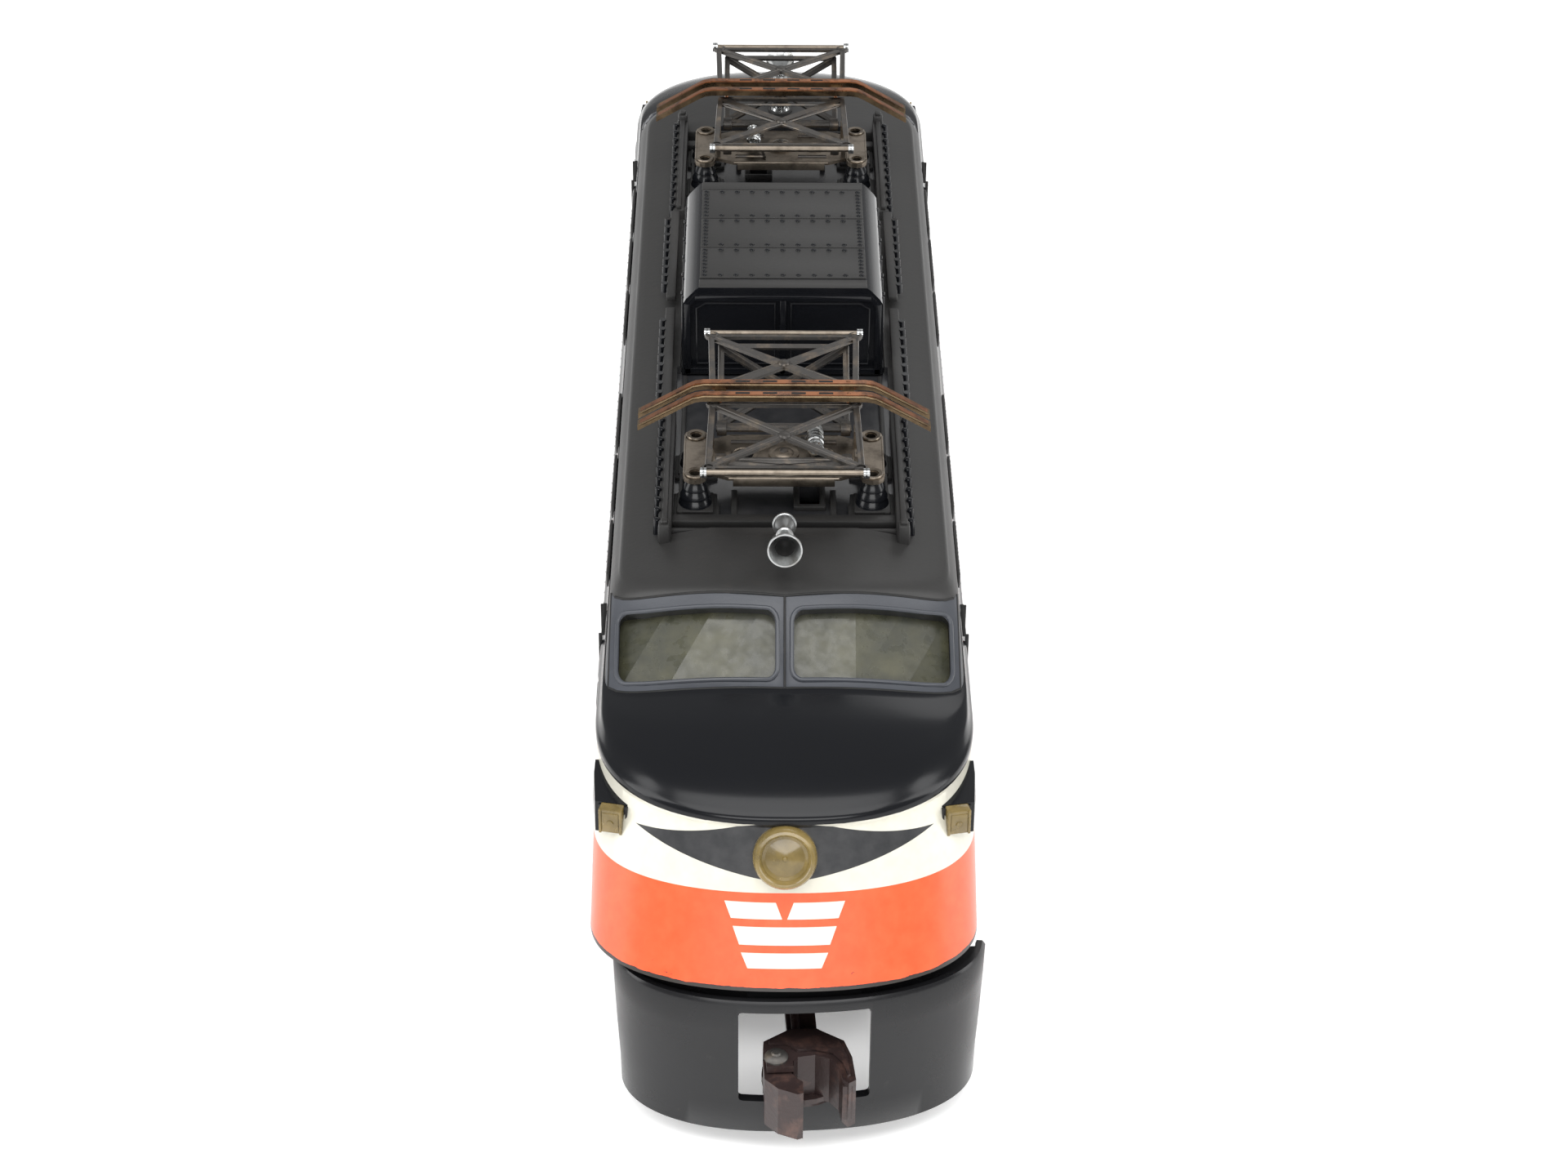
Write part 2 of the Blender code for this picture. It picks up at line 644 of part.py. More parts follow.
def build_pantographs():
    for end_name, end in ENDS:
        place = panto_matrix(end)
        prefix = f"panto_{end_name}"
        node(f"{prefix}_base", moved(panto_base(), place), "nickel")
        spring = coil_spring(5.4, -1.9, 4.3, BASE_TOP + 2.2, 1.15, 0.28, 6)
        node(f"{prefix}_spring", moved(spring, place), "zinc")
        for side_name, side in (("outer", FRONT), ("inner", REAR)):
            local = place @ side
            lower_pivot = pivot(f"{prefix}_{side_name}_lower_pivot", (0, -PIVOT_Y, PIVOT_Z), local)
            lower = arm((-PIVOT_Y, PIVOT_Z), (-KNEE_Y, KNEE_Z), 11.2, 11.2, 0.9, 0.7, 0.6, 0.0, 2.4)
            shaft = rod((-11.6, -PIVOT_Y, PIVOT_Z), (11.6, -PIVOT_Y, PIVOT_Z), 0.7, sides=10)
            node(f"{prefix}_{side_name}_lower_arm", moved(joined(lower, shaft), local), "dark_steel", lower_pivot)
            knee = rod((-13.8, -KNEE_Y, KNEE_Z), (13.8, -KNEE_Y, KNEE_Z), 0.55, sides=10)
            node(f"{prefix}_{side_name}_knee_rod", moved(knee, local), "zinc", lower_pivot)
            knee_pivot = pivot(f"{prefix}_{side_name}_knee_pivot", (0, -KNEE_Y, KNEE_Z), local)
            upper = arm((-KNEE_Y, KNEE_Z), (-HEAD_Y, HEAD_Z - 0.75), 12.9, 12.4, 0.85, 0.75, 0.6, 0.95, 0.4)
            node(f"{prefix}_{side_name}_upper_arm", moved(upper, local), "dark_steel", knee_pivot)
        head_pivot = pivot(f"{prefix}_head_pivot", (0, -HEAD_Y, HEAD_Z), place)
        node(f"{prefix}_collector_head", moved(collector_head(), place), "copper", head_pivot)


# ---- trucks ----


def truck_frame(powered):
    low, high = 6.5, 23.5
    body = box((-12.6, -31, low), (12.6, 31, high))
    body = cut(body, box((-10.8, -29.2, low - 1), (10.8, 29.2, high - 2.0)))
    holes = [rod((-20, y, AXLE_Z), (20, y, AXLE_Z), AXLE_RADIUS + 0.5, sides=16) for y in (-AXLE_Y, AXLE_Y)]
    body = cut(body, *holes, box((-3.4, -32, 15.5), (3.4, -28, 21.0)))
    if powered:
        well = box((-9.4, MOTOR_Y - 9.4, high - 4), (9.4, MOTOR_Y + 9.4, high + 4))
        return joined(cut(body, well), box((-12.6, -16, high - 1), (12.6, -6, SHELL_BOTTOM + 0.2)))
    pad = rod((0, 0, high - 1), (0, 0, SHELL_BOTTOM + 0.2), 8.0, sides=20)
    stud = rod((0, 0, high), (0, 0, 37.0), 2.6, sides=16)
    return joined(body, pad, stud)


def side_frame(side):
    """Cast side frame with journal boxes, openings and the arm that carries it."""
    low_x, high_x = 21.6, 26.2
    outline = [(-34, 12), (-31, 24.5), (-16, 27.5), (16, 27.5), (31, 24.5), (34, 12), (29, 6), (17, 6), (13, 11),
               (-13, 11), (-17, 6), (-29, 6)]
    flat = plate([outline, [(-18, 16), (-9, 15), (-9, 22.5), (-18, 22)], [(9, 15), (18, 16), (18, 22), (9, 22.5)]],
                 low_x, high_x)
    # XY of the outline becomes YZ, and the extrusion runs along X.
    upright = Matrix(((0, 0, 1, 0), (1, 0, 0, 0), (0, 1, 0, 0), (0, 0, 0, 1)))
    frame = moved(flat, upright)
    arm_box = box((12.6 + GAP, -5, 15.5), (low_x + 1, 5, 21.5))
    boxes = [box((high_x - 1, y - 4.2, 8.0), (high_x + 1.6, y + 4.2, 16.0)) for y in (-AXLE_Y, AXLE_Y)]
    springs = [rod((24.5, y, 12.0), (24.5, y, 26.0), 2.9, sides=10) for y in (-4.5, 4.5)]
    made = joined(frame, arm_box, *boxes, *springs)
    if side < 0:
        moved(made, turn(180, "Z"))
    return made


def wheel(side):
    """Flanged wheel with a dished face and a hub."""
    inner, outer = side * WHEEL_INNER_X, side * WHEEL_OUTER_X
    flange = rod((inner, 0, 0), (side * (WHEEL_INNER_X + FLANGE_WIDTH), 0, 0), FLANGE_RADIUS, sides=26)
    tread = rod((side * (WHEEL_INNER_X + 0.5), 0, 0), (outer, 0, 0), TREAD_RADIUS + 0.15, TREAD_RADIUS - 0.1, sides=26)
    dish = rod((side * (WHEEL_OUTER_X - 1.2), 0, 0), (side * (WHEEL_OUTER_X + 0.5), 0, 0), 7.6, 8.2, sides=16)
    hub = rod((side * (WHEEL_OUTER_X - 2.0), 0, 0), (side * (WHEEL_OUTER_X - 0.2), 0, 0), 3.2, sides=12)
    return joined(cut(joined(flange, tread), dish), hub)


def wheelset(geared):
    axle = rod((-21.0, 0, 0), (21.0, 0, 0), AXLE_RADIUS, sides=14)
    parts = [wheel(-1), wheel(1)]
    if geared:
        parts.append(rod((-2.0, 0, 0), (2.0, 0, 0), WORM_WHEEL_RADIUS, sides=20))
    return joined(axle, *parts)


def arc_wall(radius_offset):
    """Plan outline of the pilot: the same rounded front as the shell's foot, open to the rear."""
    points = []
    for step in range(-10, 11):
        angle = math.pi / 2 * 0.93 * step / 10
        x = (PILOT_HALF_WIDTH - radius_offset) * math.copysign(abs(math.sin(angle)) ** (2 / 2.3), angle)
        y = -43 - (PILOT_APEX - 43 - radius_offset) * math.cos(angle) ** (2 / 2.3)
        points.append((x, y))
    return points


def pilot():
    outer = arc_wall(0)
    inner = arc_wall(PILOT_WALL)
    wall = plate([outer + list(reversed(inner))], PILOT_BOTTOM, PILOT_TOP)
    for corner in wall.data.vertices:
        corner.co.x *= PILOT_FLARE if corner.co.z > PILOT_TOP / 2 * MM else 1
    mouth = box((-OPENING_HALF_WIDTH, -70, OPENING_BOTTOM), (OPENING_HALF_WIDTH, -50, OPENING_TOP))
    wall = cut(wall, mouth)
    shelf = box((-9.0, -58.4, 28.3), (9.0, -42.0, 29.6))
    legs = [hull([(x + dx, -31.0 - GAP, z) for dx in (-0.8, 0.8) for z in (17.0, 23.0)]
                 + [(x + dx, -43.0, z) for dx in (-0.8, 0.8) for z in (22.0, 29.4)]) for x in (-7.0, 7.0)]
    return joined(wall, shelf, *legs)


def coupler_head():
    """Drawbar with its pivot eye, flared throat, and the fixed guard arm on the +X side."""
    bar = box((-2.4, -HEAD_BACK - 2, 16.6), (2.4, -DRAWBAR_PIVOT_Y, 18.4))
    eye = cut(rod((0, -DRAWBAR_PIVOT_Y, 16.6), (0, -DRAWBAR_PIVOT_Y, 18.4), 3.2, sides=18),
              rod((0, -DRAWBAR_PIVOT_Y, 15), (0, -DRAWBAR_PIVOT_Y, 20), 1.5, sides=14))
    bar = cut(bar, rod((0, -DRAWBAR_PIVOT_Y, 15), (0, -DRAWBAR_PIVOT_Y, 20), 1.5, sides=14))
    outline = [(-2.4, -HEAD_BACK), (2.4, -HEAD_BACK), (6.4, -57.0), (7.4, -61.0), (7.6, -66.4), (6.4, -67.2),
               (5.5, -66.0), (5.2, -63.2), (3.8, -61.2), (1.6, -60.2), (-1.2, -60.6), (-1.9, -61.5), (-3.0, -58.9),
               (-4.4, -58.2), (-6.6, -58.6), (-6.4, -56.6)]
    outline.reverse()
    head = plate([outline], HEAD_BOTTOM, HEAD_TOP)
    shelf = plate([[(-6.2, -57.4), (-2.0, -57.4), (-2.0, -62.6), (-6.2, -62.6)]], HEAD_TOP - 1.3, HEAD_TOP)
    disc = rod((0, -55.0, HEAD_BOTTOM - 0.1), (0, -55.0, HEAD_BOTTOM + 0.9), 6.6, sides=24)
    return joined(head, bar, eye, shelf, disc)


def knuckle():
    """Jaw that turns about its pin, with a curved face in front."""
    outline = [(-6.6, -59.3), (-3.1, -59.3), (-2.4, -62.2), (-1.4, -63.8), (-0.6, -64.6), (-0.7, -67.2),
               (-1.6, -67.5), (-4.6, -66.0), (-6.6, -63.6)]
    skirt = [(-6.6, -62.0), (-2.6, -62.0), (-1.4, -63.8), (-0.6, -64.6), (-0.7, -67.2), (-1.6, -67.5), (-4.6, -66.0),
             (-6.6, -63.6)]
    upper = plate([outline[::-1]], HEAD_BOTTOM + 1.0 + GAP, HEAD_TOP - 1.3 - GAP)
    jaw = joined(upper, plate([skirt[::-1]], HEAD_BOTTOM - 2.0, HEAD_TOP - 2.5))
    return jaw


def motor():
    """Upright motor frame: field stack and brush plate."""
    y = MOTOR_Y
    field = box((-11.0, y - 10.9, 25.0), (11.0, y + 10.9, 52.0))
    bore = rod((0, y, 24), (0, y, 53), 9.0, sides=20)
    field = cut(field, bore)
    cap = plate([circle(0, y, 10.8, 20), circle(0, y, 2.0, 10)], 51.0, 60.0)
    pocket = rod((0, y, 50), (0, y, 58.5), 9.0, sides=20)
    return joined(field, cut(cap, pocket))


def armature():
    """Wound core, commutator and the worm that drives the worm wheel on the inner axle."""
    y = MOTOR_Y
    core = rod((0, y, 28.0), (0, y, 50.0), 8.4, sides=20)
    commutator = rod((0, y, 49), (0, y, 55.5), 5.0, sides=16)
    shaft = rod((0, y, 7.4), (0, y, 61.5), 1.3, sides=12)
    worm = rod((0, y, 7.8), (0, y, 17.0), WORM_RADIUS, sides=14)
    return joined(core, commutator, shaft, worm)


def pickup():
    plate_body = box((-9.0, -12.0, 9.2), (9.0, 12.0, 10.6))
    post = box((-3.0, -3.0, 10.0), (3.0, 3.0, 21.2))
    arms = [box((-6.0, y - 0.6, 3.4), (6.0, y + 0.6, 9.6)) for y in (-8.6, 8.6)]
    rollers = [rod((-5.0, y, 4.6), (5.0, y, 4.6), 1.2, sides=10) for y in (-8.6, 8.6)]
    return joined(plate_body, post, *arms, *rollers)


def build_trucks():
    for end_name, end in ENDS:
        powered = end_name == "rear"
        local = end @ shift(0, -KINGPIN_Y, 0) @ Matrix.Rotation(TRUCK_TURN, 4, "Z")
        prefix = f"truck_{end_name}"
        kingpin = pivot(f"{prefix}_kingpin", (0, 0, SHELL_BOTTOM), local)
        node(f"{prefix}_frame", moved(truck_frame(powered), local), "cast_iron", kingpin)
        for side_name, side in (("left", -1), ("right", 1)):
            node(f"{prefix}_side_frame_{side_name}", moved(side_frame(side), local), "cast_iron", kingpin)
        node(f"{prefix}_pilot", moved(pilot(), local), "black_paint", kingpin)
        for axle_name, y, geared in (("lead", -AXLE_Y, False), ("trail", AXLE_Y, powered)):
            axle = pivot(f"{prefix}_{axle_name}_axle", (0, y, AXLE_Z), local)
            wheels = moved(wheelset(geared), local @ shift(0, y, AXLE_Z))
            node(f"{prefix}_wheelset_{axle_name}", wheels, "cast_iron", axle)
        bar_pivot = pivot(f"{prefix}_drawbar_pivot", (0, -DRAWBAR_PIVOT_Y, 17.5), local)
        node(f"{prefix}_coupler", moved(coupler_head(), local), "coupler_brown", bar_pivot)
        pin = pivot(f"{prefix}_knuckle_pin", (*KNUCKLE_PIN, 15), local)
        node(f"{prefix}_knuckle", moved(knuckle(), local), "coupler_brown", pin)
        if powered:
            node("motor_frame", moved(motor(), local), "dark_steel", kingpin)
            shaft = pivot("armature_axis", (0, MOTOR_Y, 40), local)
            node("motor_armature", moved(armature(), local), "copper", shaft)
        else:
            node("pickup_shoe", moved(pickup(), local), "brass", kingpin)


# ---- chassis and what it carries ----


def build_chassis():
    low, high = 32.6, 34.2
    outline = [(27.6, -112), (27.6, 112), (18, 128), (-18, 128), (-27.6, 112), (-27.6, -112), (-18, -128), (18, -128)]
    kingpin_hole = circle(0, -KINGPIN_Y, 3.1, 14)
    motor_hole = [(-18, KINGPIN_Y - 29), (18, KINGPIN_Y - 29), (18, KINGPIN_Y + 1), (-18, KINGPIN_Y + 1)]
    deck = plate([outline, kingpin_hole, motor_hole], low, high)
    tank = box((-25.5, -38, 13.0), (25.5, 38, low - GAP))
    tank = cut(tank, box((-24.0, -36.5, 14.5), (24.0, 36.5, 40)))
    slots = [box((side * 20.2 - 3.8, -36.5, 30), (side * 20.2 + 3.8, 36.5, 36)) for side in (-1, 1)]
    ribs = [box((side * 25.9 - 0.7, y - 1.0, 14.0), (side * 25.9 + 0.7, y + 1.0, 31.5))
            for side in (-1, 1) for y in (-30, -18, -6, 6, 18, 30)]
    tabs = [box((-5, side * 127 - 1.0, low), (5, side * 127 + 1.0, 42.0)) for side in (-1, 1)]
    node("chassis_frame", joined(cut(deck, *slots), *tabs), "black_paint")
    node("underframe_tank", joined(tank, *ribs), "black_paint")
    for end_name, end in ENDS:
        screw = joined(rod((0, -121.0, 30.4), (0, -121.0, low - GAP), 2.6, sides=16),
                       rod((0, -121.0, 31.5), (0, -121.0, low - 0.1), 1.0, sides=10))
        node(f"shell_screw_{end_name}", moved(screw, end), "zinc")
        socket = joined(rod((0, -117.5, 43.0), (0, -126.5, 48.0), 3.4, sides=14),
                        rod((0, -125.5, 47.4), (0, -130.5, 50.0), 2.6, 1.6, sides=14),
                        box((-3.0, -120.5, high + GAP), (3.0, -117.5, 45.0)))
        node(f"lamp_{end_name}", moved(socket, end), "brass")
    cell_z = 51.2
    battery = joined(rod((0, -29.5, cell_z), (0, 28.0, cell_z), 15.4, sides=28),
                     rod((0, 27.5, cell_z), (0, 30.0, cell_z), 4.0, sides=16))
    node("battery", battery, "battery_wrap")
    clip = box((-14.0, -31.6, high + GAP), (14.0, 32.0, high + 1.2))
    ends = [box((-10.0, -31.6, high + GAP), (10.0, -30.4, 62.0)), box((-10.0, 30.8, high + GAP), (10.0, 32.0, 62.0))]
    clip = joined(clip, *ends)
    trough = rod((0, -40, cell_z), (0, 40, cell_z), 15.4 + GAP, sides=28)
    node("battery_clip", cut(clip, trough), "brass")
    lever_x, lever_y, lever_z = 4.4, -62.7, 50.0
    case = box((-10, lever_y - 10.5, high + GAP), (13, lever_y + 10.5, 58.0))
    hollow = box((-8.5, lever_y - 9.0, high - 1), (11.5, lever_y + 9.0, 56.5))
    slot = box((lever_x - 1.2, lever_y - 6.0, 55), (lever_x + 1.2, lever_y + 6.0, 60))
    node("reverse_unit", cut(case, hollow, slot), "zinc")
    lever_pivot = pivot("reverse_lever_pivot", (lever_x, lever_y, lever_z))
    lever = joined(box((lever_x - 0.6, lever_y - 0.9, lever_z), (lever_x + 0.6, lever_y + 0.9, 66.5)),
                   rod((lever_x - 4.0, lever_y, lever_z), (lever_x + 4.0, lever_y, lever_z), 1.4, sides=12))
    node("reverse_lever", lever, "zinc", lever_pivot)
    block = box((-13, 36.5, high + GAP), (13, 56.0, 46.0))
    node("horn_unit", joined(block, rod((0, 46.2, 45.0), (0, 46.2, 56.0), 7.5, sides=16)), "dark_steel")


build_shell()
build_shell_fittings()
build_pantographs()
build_trucks()
build_chassis()
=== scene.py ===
"""Looks of the three-rail model electric locomotive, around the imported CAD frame.

Helpers take millimetres.
"""

import json
import math

import bmesh
import bpy
from mathutils import Matrix, Vector


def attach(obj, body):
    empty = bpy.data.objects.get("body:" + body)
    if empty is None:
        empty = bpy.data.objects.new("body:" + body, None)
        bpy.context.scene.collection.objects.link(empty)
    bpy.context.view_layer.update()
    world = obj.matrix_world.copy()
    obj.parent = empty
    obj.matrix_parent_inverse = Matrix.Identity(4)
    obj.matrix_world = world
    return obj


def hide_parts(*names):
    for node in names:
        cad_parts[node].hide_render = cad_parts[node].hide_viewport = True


MM = 0.001

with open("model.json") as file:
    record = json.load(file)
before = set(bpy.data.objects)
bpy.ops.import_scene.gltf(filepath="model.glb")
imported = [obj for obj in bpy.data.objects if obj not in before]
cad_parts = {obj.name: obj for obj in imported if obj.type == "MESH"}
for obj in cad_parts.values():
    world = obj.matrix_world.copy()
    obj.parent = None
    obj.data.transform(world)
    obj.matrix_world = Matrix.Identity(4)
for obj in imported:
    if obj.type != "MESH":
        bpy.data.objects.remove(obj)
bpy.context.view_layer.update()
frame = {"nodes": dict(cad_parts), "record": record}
NODES = frame["nodes"]
SLOT_OF = {part["node"]: part["material_slot"] for part in frame["record"]["subparts"]}

ROOT = "body"
FRONT = Matrix()
REAR = Matrix.Rotation(math.pi, 4, "Z")
ENDS = (("front", FRONT), ("rear", REAR))


def shift(x, y, z):
    return Matrix.Translation(Vector((x, y, z)))


def on_circle(radius, angle):
    return radius * math.cos(angle), radius * math.sin(angle)


def turn(degrees, axis):
    return Matrix.Rotation(math.radians(degrees), 4, axis)


# ---- materials ----


def link(tree, source, output, target, name):
    tree.links.new(source.outputs[output], target.inputs[name])


def noise(tree, coordinates, scale, detail, roughness=0.55):
    made = tree.nodes.new("ShaderNodeTexNoise")
    made.inputs["Scale"].default_value = scale
    made.inputs["Detail"].default_value = detail
    made.inputs["Roughness"].default_value = roughness
    link(tree, coordinates, "Object", made, "Vector")
    return made


def spread(tree, source, output, low, high, to_low, to_high):
    made = tree.nodes.new("ShaderNodeMapRange")
    made.inputs["From Min"].default_value = low
    made.inputs["From Max"].default_value = high
    made.inputs["To Min"].default_value = to_low
    made.inputs["To Max"].default_value = to_high
    link(tree, source, output, made, "Value")
    return made


def math_node(tree, operation, a, b=None):
    made = tree.nodes.new("ShaderNodeMath")
    made.operation = operation
    for slot, value in enumerate((a, b)):
        if value is None:
            continue
        if isinstance(value, (int, float)):
            made.inputs[slot].default_value = value
        else:
            tree.links.new(value, made.inputs[slot])
    return made.outputs["Value"]


def blended(tree, factor, first, second):
    """A colour mix. Each colour is a socket or a constant, and factor a socket."""
    made = tree.nodes.new("ShaderNodeMix")
    made.data_type = "RGBA"
    tree.links.new(factor, made.inputs["Factor"])
    for socket, value in ((made.inputs[6], first), (made.inputs[7], second)):
        if isinstance(value, tuple):
            socket.default_value = (*value, 1)
        else:
            tree.links.new(value, socket)
    return made.outputs[2]


def new_material(name):
    made = bpy.data.materials.new(name)
    made.use_nodes = True
    tree = made.node_tree
    shader = tree.nodes["Principled BSDF"]
    coordinates = tree.nodes.new("ShaderNodeTexCoord")
    return made, tree, shader, coordinates


def add_bump(tree, shader, source, output, distance, strength=0.5):
    bump = tree.nodes.new("ShaderNodeBump")
    bump.inputs["Strength"].default_value = strength
    bump.inputs["Distance"].default_value = distance * MM
    link(tree, source, output, bump, "Height")
    link(tree, bump, "Normal", shader, "Normal")


GRAIN = 260.0
AMBER_SPECKS = 500.0


def surface(name, colour, worn, roughness, metallic=0.0, coat=0.0, patches=45.0, wear=(0.52, 0.72),
            bump=0.05, spread_rough=0.12, depth=0.2, gloss=0.5):
    """A base colour that varies in patches and turns to the worn colour in spots, over a fine grain."""
    made, tree, shader, coordinates = new_material(name)
    wide = noise(tree, coordinates, patches, 5.0, 0.6)
    fine = noise(tree, coordinates, GRAIN * 4, 3.0)
    dark = tuple(c * (1 - depth) for c in colour)
    light = tuple(min(c * (1 + depth), 1) for c in colour)
    shade = spread(tree, wide, "Fac", 0.3, 0.7, 0, 1)
    base = blended(tree, shade.outputs["Result"], dark, light)
    spots = noise(tree, coordinates, GRAIN, 6.0, 0.7)
    mask = spread(tree, spots, "Fac", *wear, 0, 1)
    tree.links.new(blended(tree, mask.outputs["Result"], base, worn), shader.inputs["Base Color"])
    rough = spread(tree, wide, "Fac", 0.3, 0.7, max(roughness - spread_rough, 0.04), roughness + spread_rough)
    link(tree, rough, "Result", shader, "Roughness")
    shader.inputs["Metallic"].default_value = metallic
    shader.inputs["Coat Weight"].default_value = coat
    shader.inputs["Coat Roughness"].default_value = 0.12
    shader.inputs["Specular IOR Level"].default_value = gloss
    add_bump(tree, shader, fine, "Fac", bump)
    return made


def clear_amber(name, colour, deep, roughness, transmission):
    """A cloudy, slightly see-through plastic."""
    made, tree, shader, coordinates = new_material(name)
    cloud = noise(tree, coordinates, 130.0, 5.0, 0.65)
    specks = noise(tree, coordinates, AMBER_SPECKS, 2.0)
    mask = spread(tree, cloud, "Fac", 0.32, 0.68, 0, 1)
    tree.links.new(blended(tree, mask.outputs["Result"], deep, colour), shader.inputs["Base Color"])
    rough = spread(tree, specks, "Fac", 0.35, 0.7, roughness * 0.6, roughness * 1.6)
    link(tree, rough, "Result", shader, "Roughness")
    shader.inputs["Transmission Weight"].default_value = transmission
    shader.inputs["IOR"].default_value = 1.46
    shader.inputs["Coat Weight"].default_value = 0.25
    shader.inputs["Coat Roughness"].default_value = 0.08
    add_bump(tree, shader, cloud, "Fac", 0.08, 0.3)
    return made


ORANGE_TOP = 46.4
WHITE_TOP = 57.0
CHIP = 0.9


def painted_bands():
    """Orange and cream bands, with a black pointed shape round the headlight and black above and inside."""
    made, tree, shader, coordinates = new_material("shell_bands")

    def m(operation, a, b=None):
        return math_node(tree, operation, a, b)

    parts = tree.nodes.new("ShaderNodeSeparateXYZ")
    link(tree, coordinates, "Object", parts, "Vector")
    scaled = [m("MULTIPLY", parts.outputs[i], 1 / MM) for i in range(3)]
    ragged = noise(tree, coordinates, 420.0, 3.0, 0.6)
    chips = noise(tree, coordinates, 700.0, 5.0, 0.75)
    width = m("ABSOLUTE", scaled[0])
    end = m("ABSOLUTE", scaled[1])
    z = scaled[2]
    jitter = m("MULTIPLY", m("SUBTRACT", ragged.outputs["Fac"], 0.5), 0.5)
    rough_z = m("ADD", z, jitter)
    sag = m("MULTIPLY", m("POWER", m("DIVIDE", width, 30.0), 3.0),
                    0.9)
    orange_edge = m("SUBTRACT", ORANGE_TOP, sag)
    is_orange = m("LESS_THAN", z, orange_edge)
    # The pointed shape: two curves over the distance from the middle, on the raked nose only.
    share = m("DIVIDE", width, 23.4)
    bowed = m("POWER", share, 1.25)
    lower = m("ADD", 47.9, m("MULTIPLY", bowed, 5.0))
    falling = m("MULTIPLY", m("POWER", share, 0.72), 5.9)
    upper = m("SUBTRACT", 58.8, falling)
    inside = m("MULTIPLY", m("GREATER_THAN", z, lower),
                       m("LESS_THAN", z, upper))
    inside = m("MULTIPLY", inside, m("LESS_THAN", width, 23.4))
    inside = m("MULTIPLY", inside, m("GREATER_THAN", end, 110.0))
    cream_noise = spread(tree, ragged, "Fac", 0.3, 0.7, 0, 1)
    cream = blended(tree, cream_noise.outputs["Result"], (0.6, 0.585, 0.5), (0.66, 0.64, 0.555))
    orange = blended(tree, cream_noise.outputs["Result"], (0.86, 0.085, 0.022), (0.93, 0.105, 0.03))
    black = blended(tree, cream_noise.outputs["Result"], (0.016, 0.017, 0.019), (0.03, 0.03, 0.032))
    bands = blended(tree, is_orange, cream, orange)
    bands = blended(tree, inside, bands, black)
    # Chips along the foot and beside the edges of the paint
    foot = m("LESS_THAN", rough_z, 32.0 + CHIP * 0.62)
    spot = spread(tree, chips, "Fac", 0.765, 0.775, 0, 1)
    near_foot = m("LESS_THAN", z, 34.5)
    spot_low = spread(tree, chips, "Fac", 0.665, 0.68, 0, 1)
    low_spots = m("MULTIPLY", near_foot, spot_low.outputs["Result"])
    chipped = m("MAXIMUM", m("MAXIMUM", foot, spot.outputs["Result"]), low_spots)
    bands = blended(tree, chipped, bands, (0.03, 0.025, 0.022))
    above = m("GREATER_THAN", rough_z, WHITE_TOP)
    tree.links.new(blended(tree, above, bands, black), shader.inputs["Base Color"])
    rough = spread(tree, ragged, "Fac", 0.3, 0.7, 0.3, 0.36)
    link(tree, rough, "Result", shader, "Roughness")
    shader.inputs["Coat Weight"].default_value = 0.25
    shader.inputs["Coat Roughness"].default_value = 0.15
    add_bump(tree, shader, chips, "Fac", 0.06, 0.35)
    return made


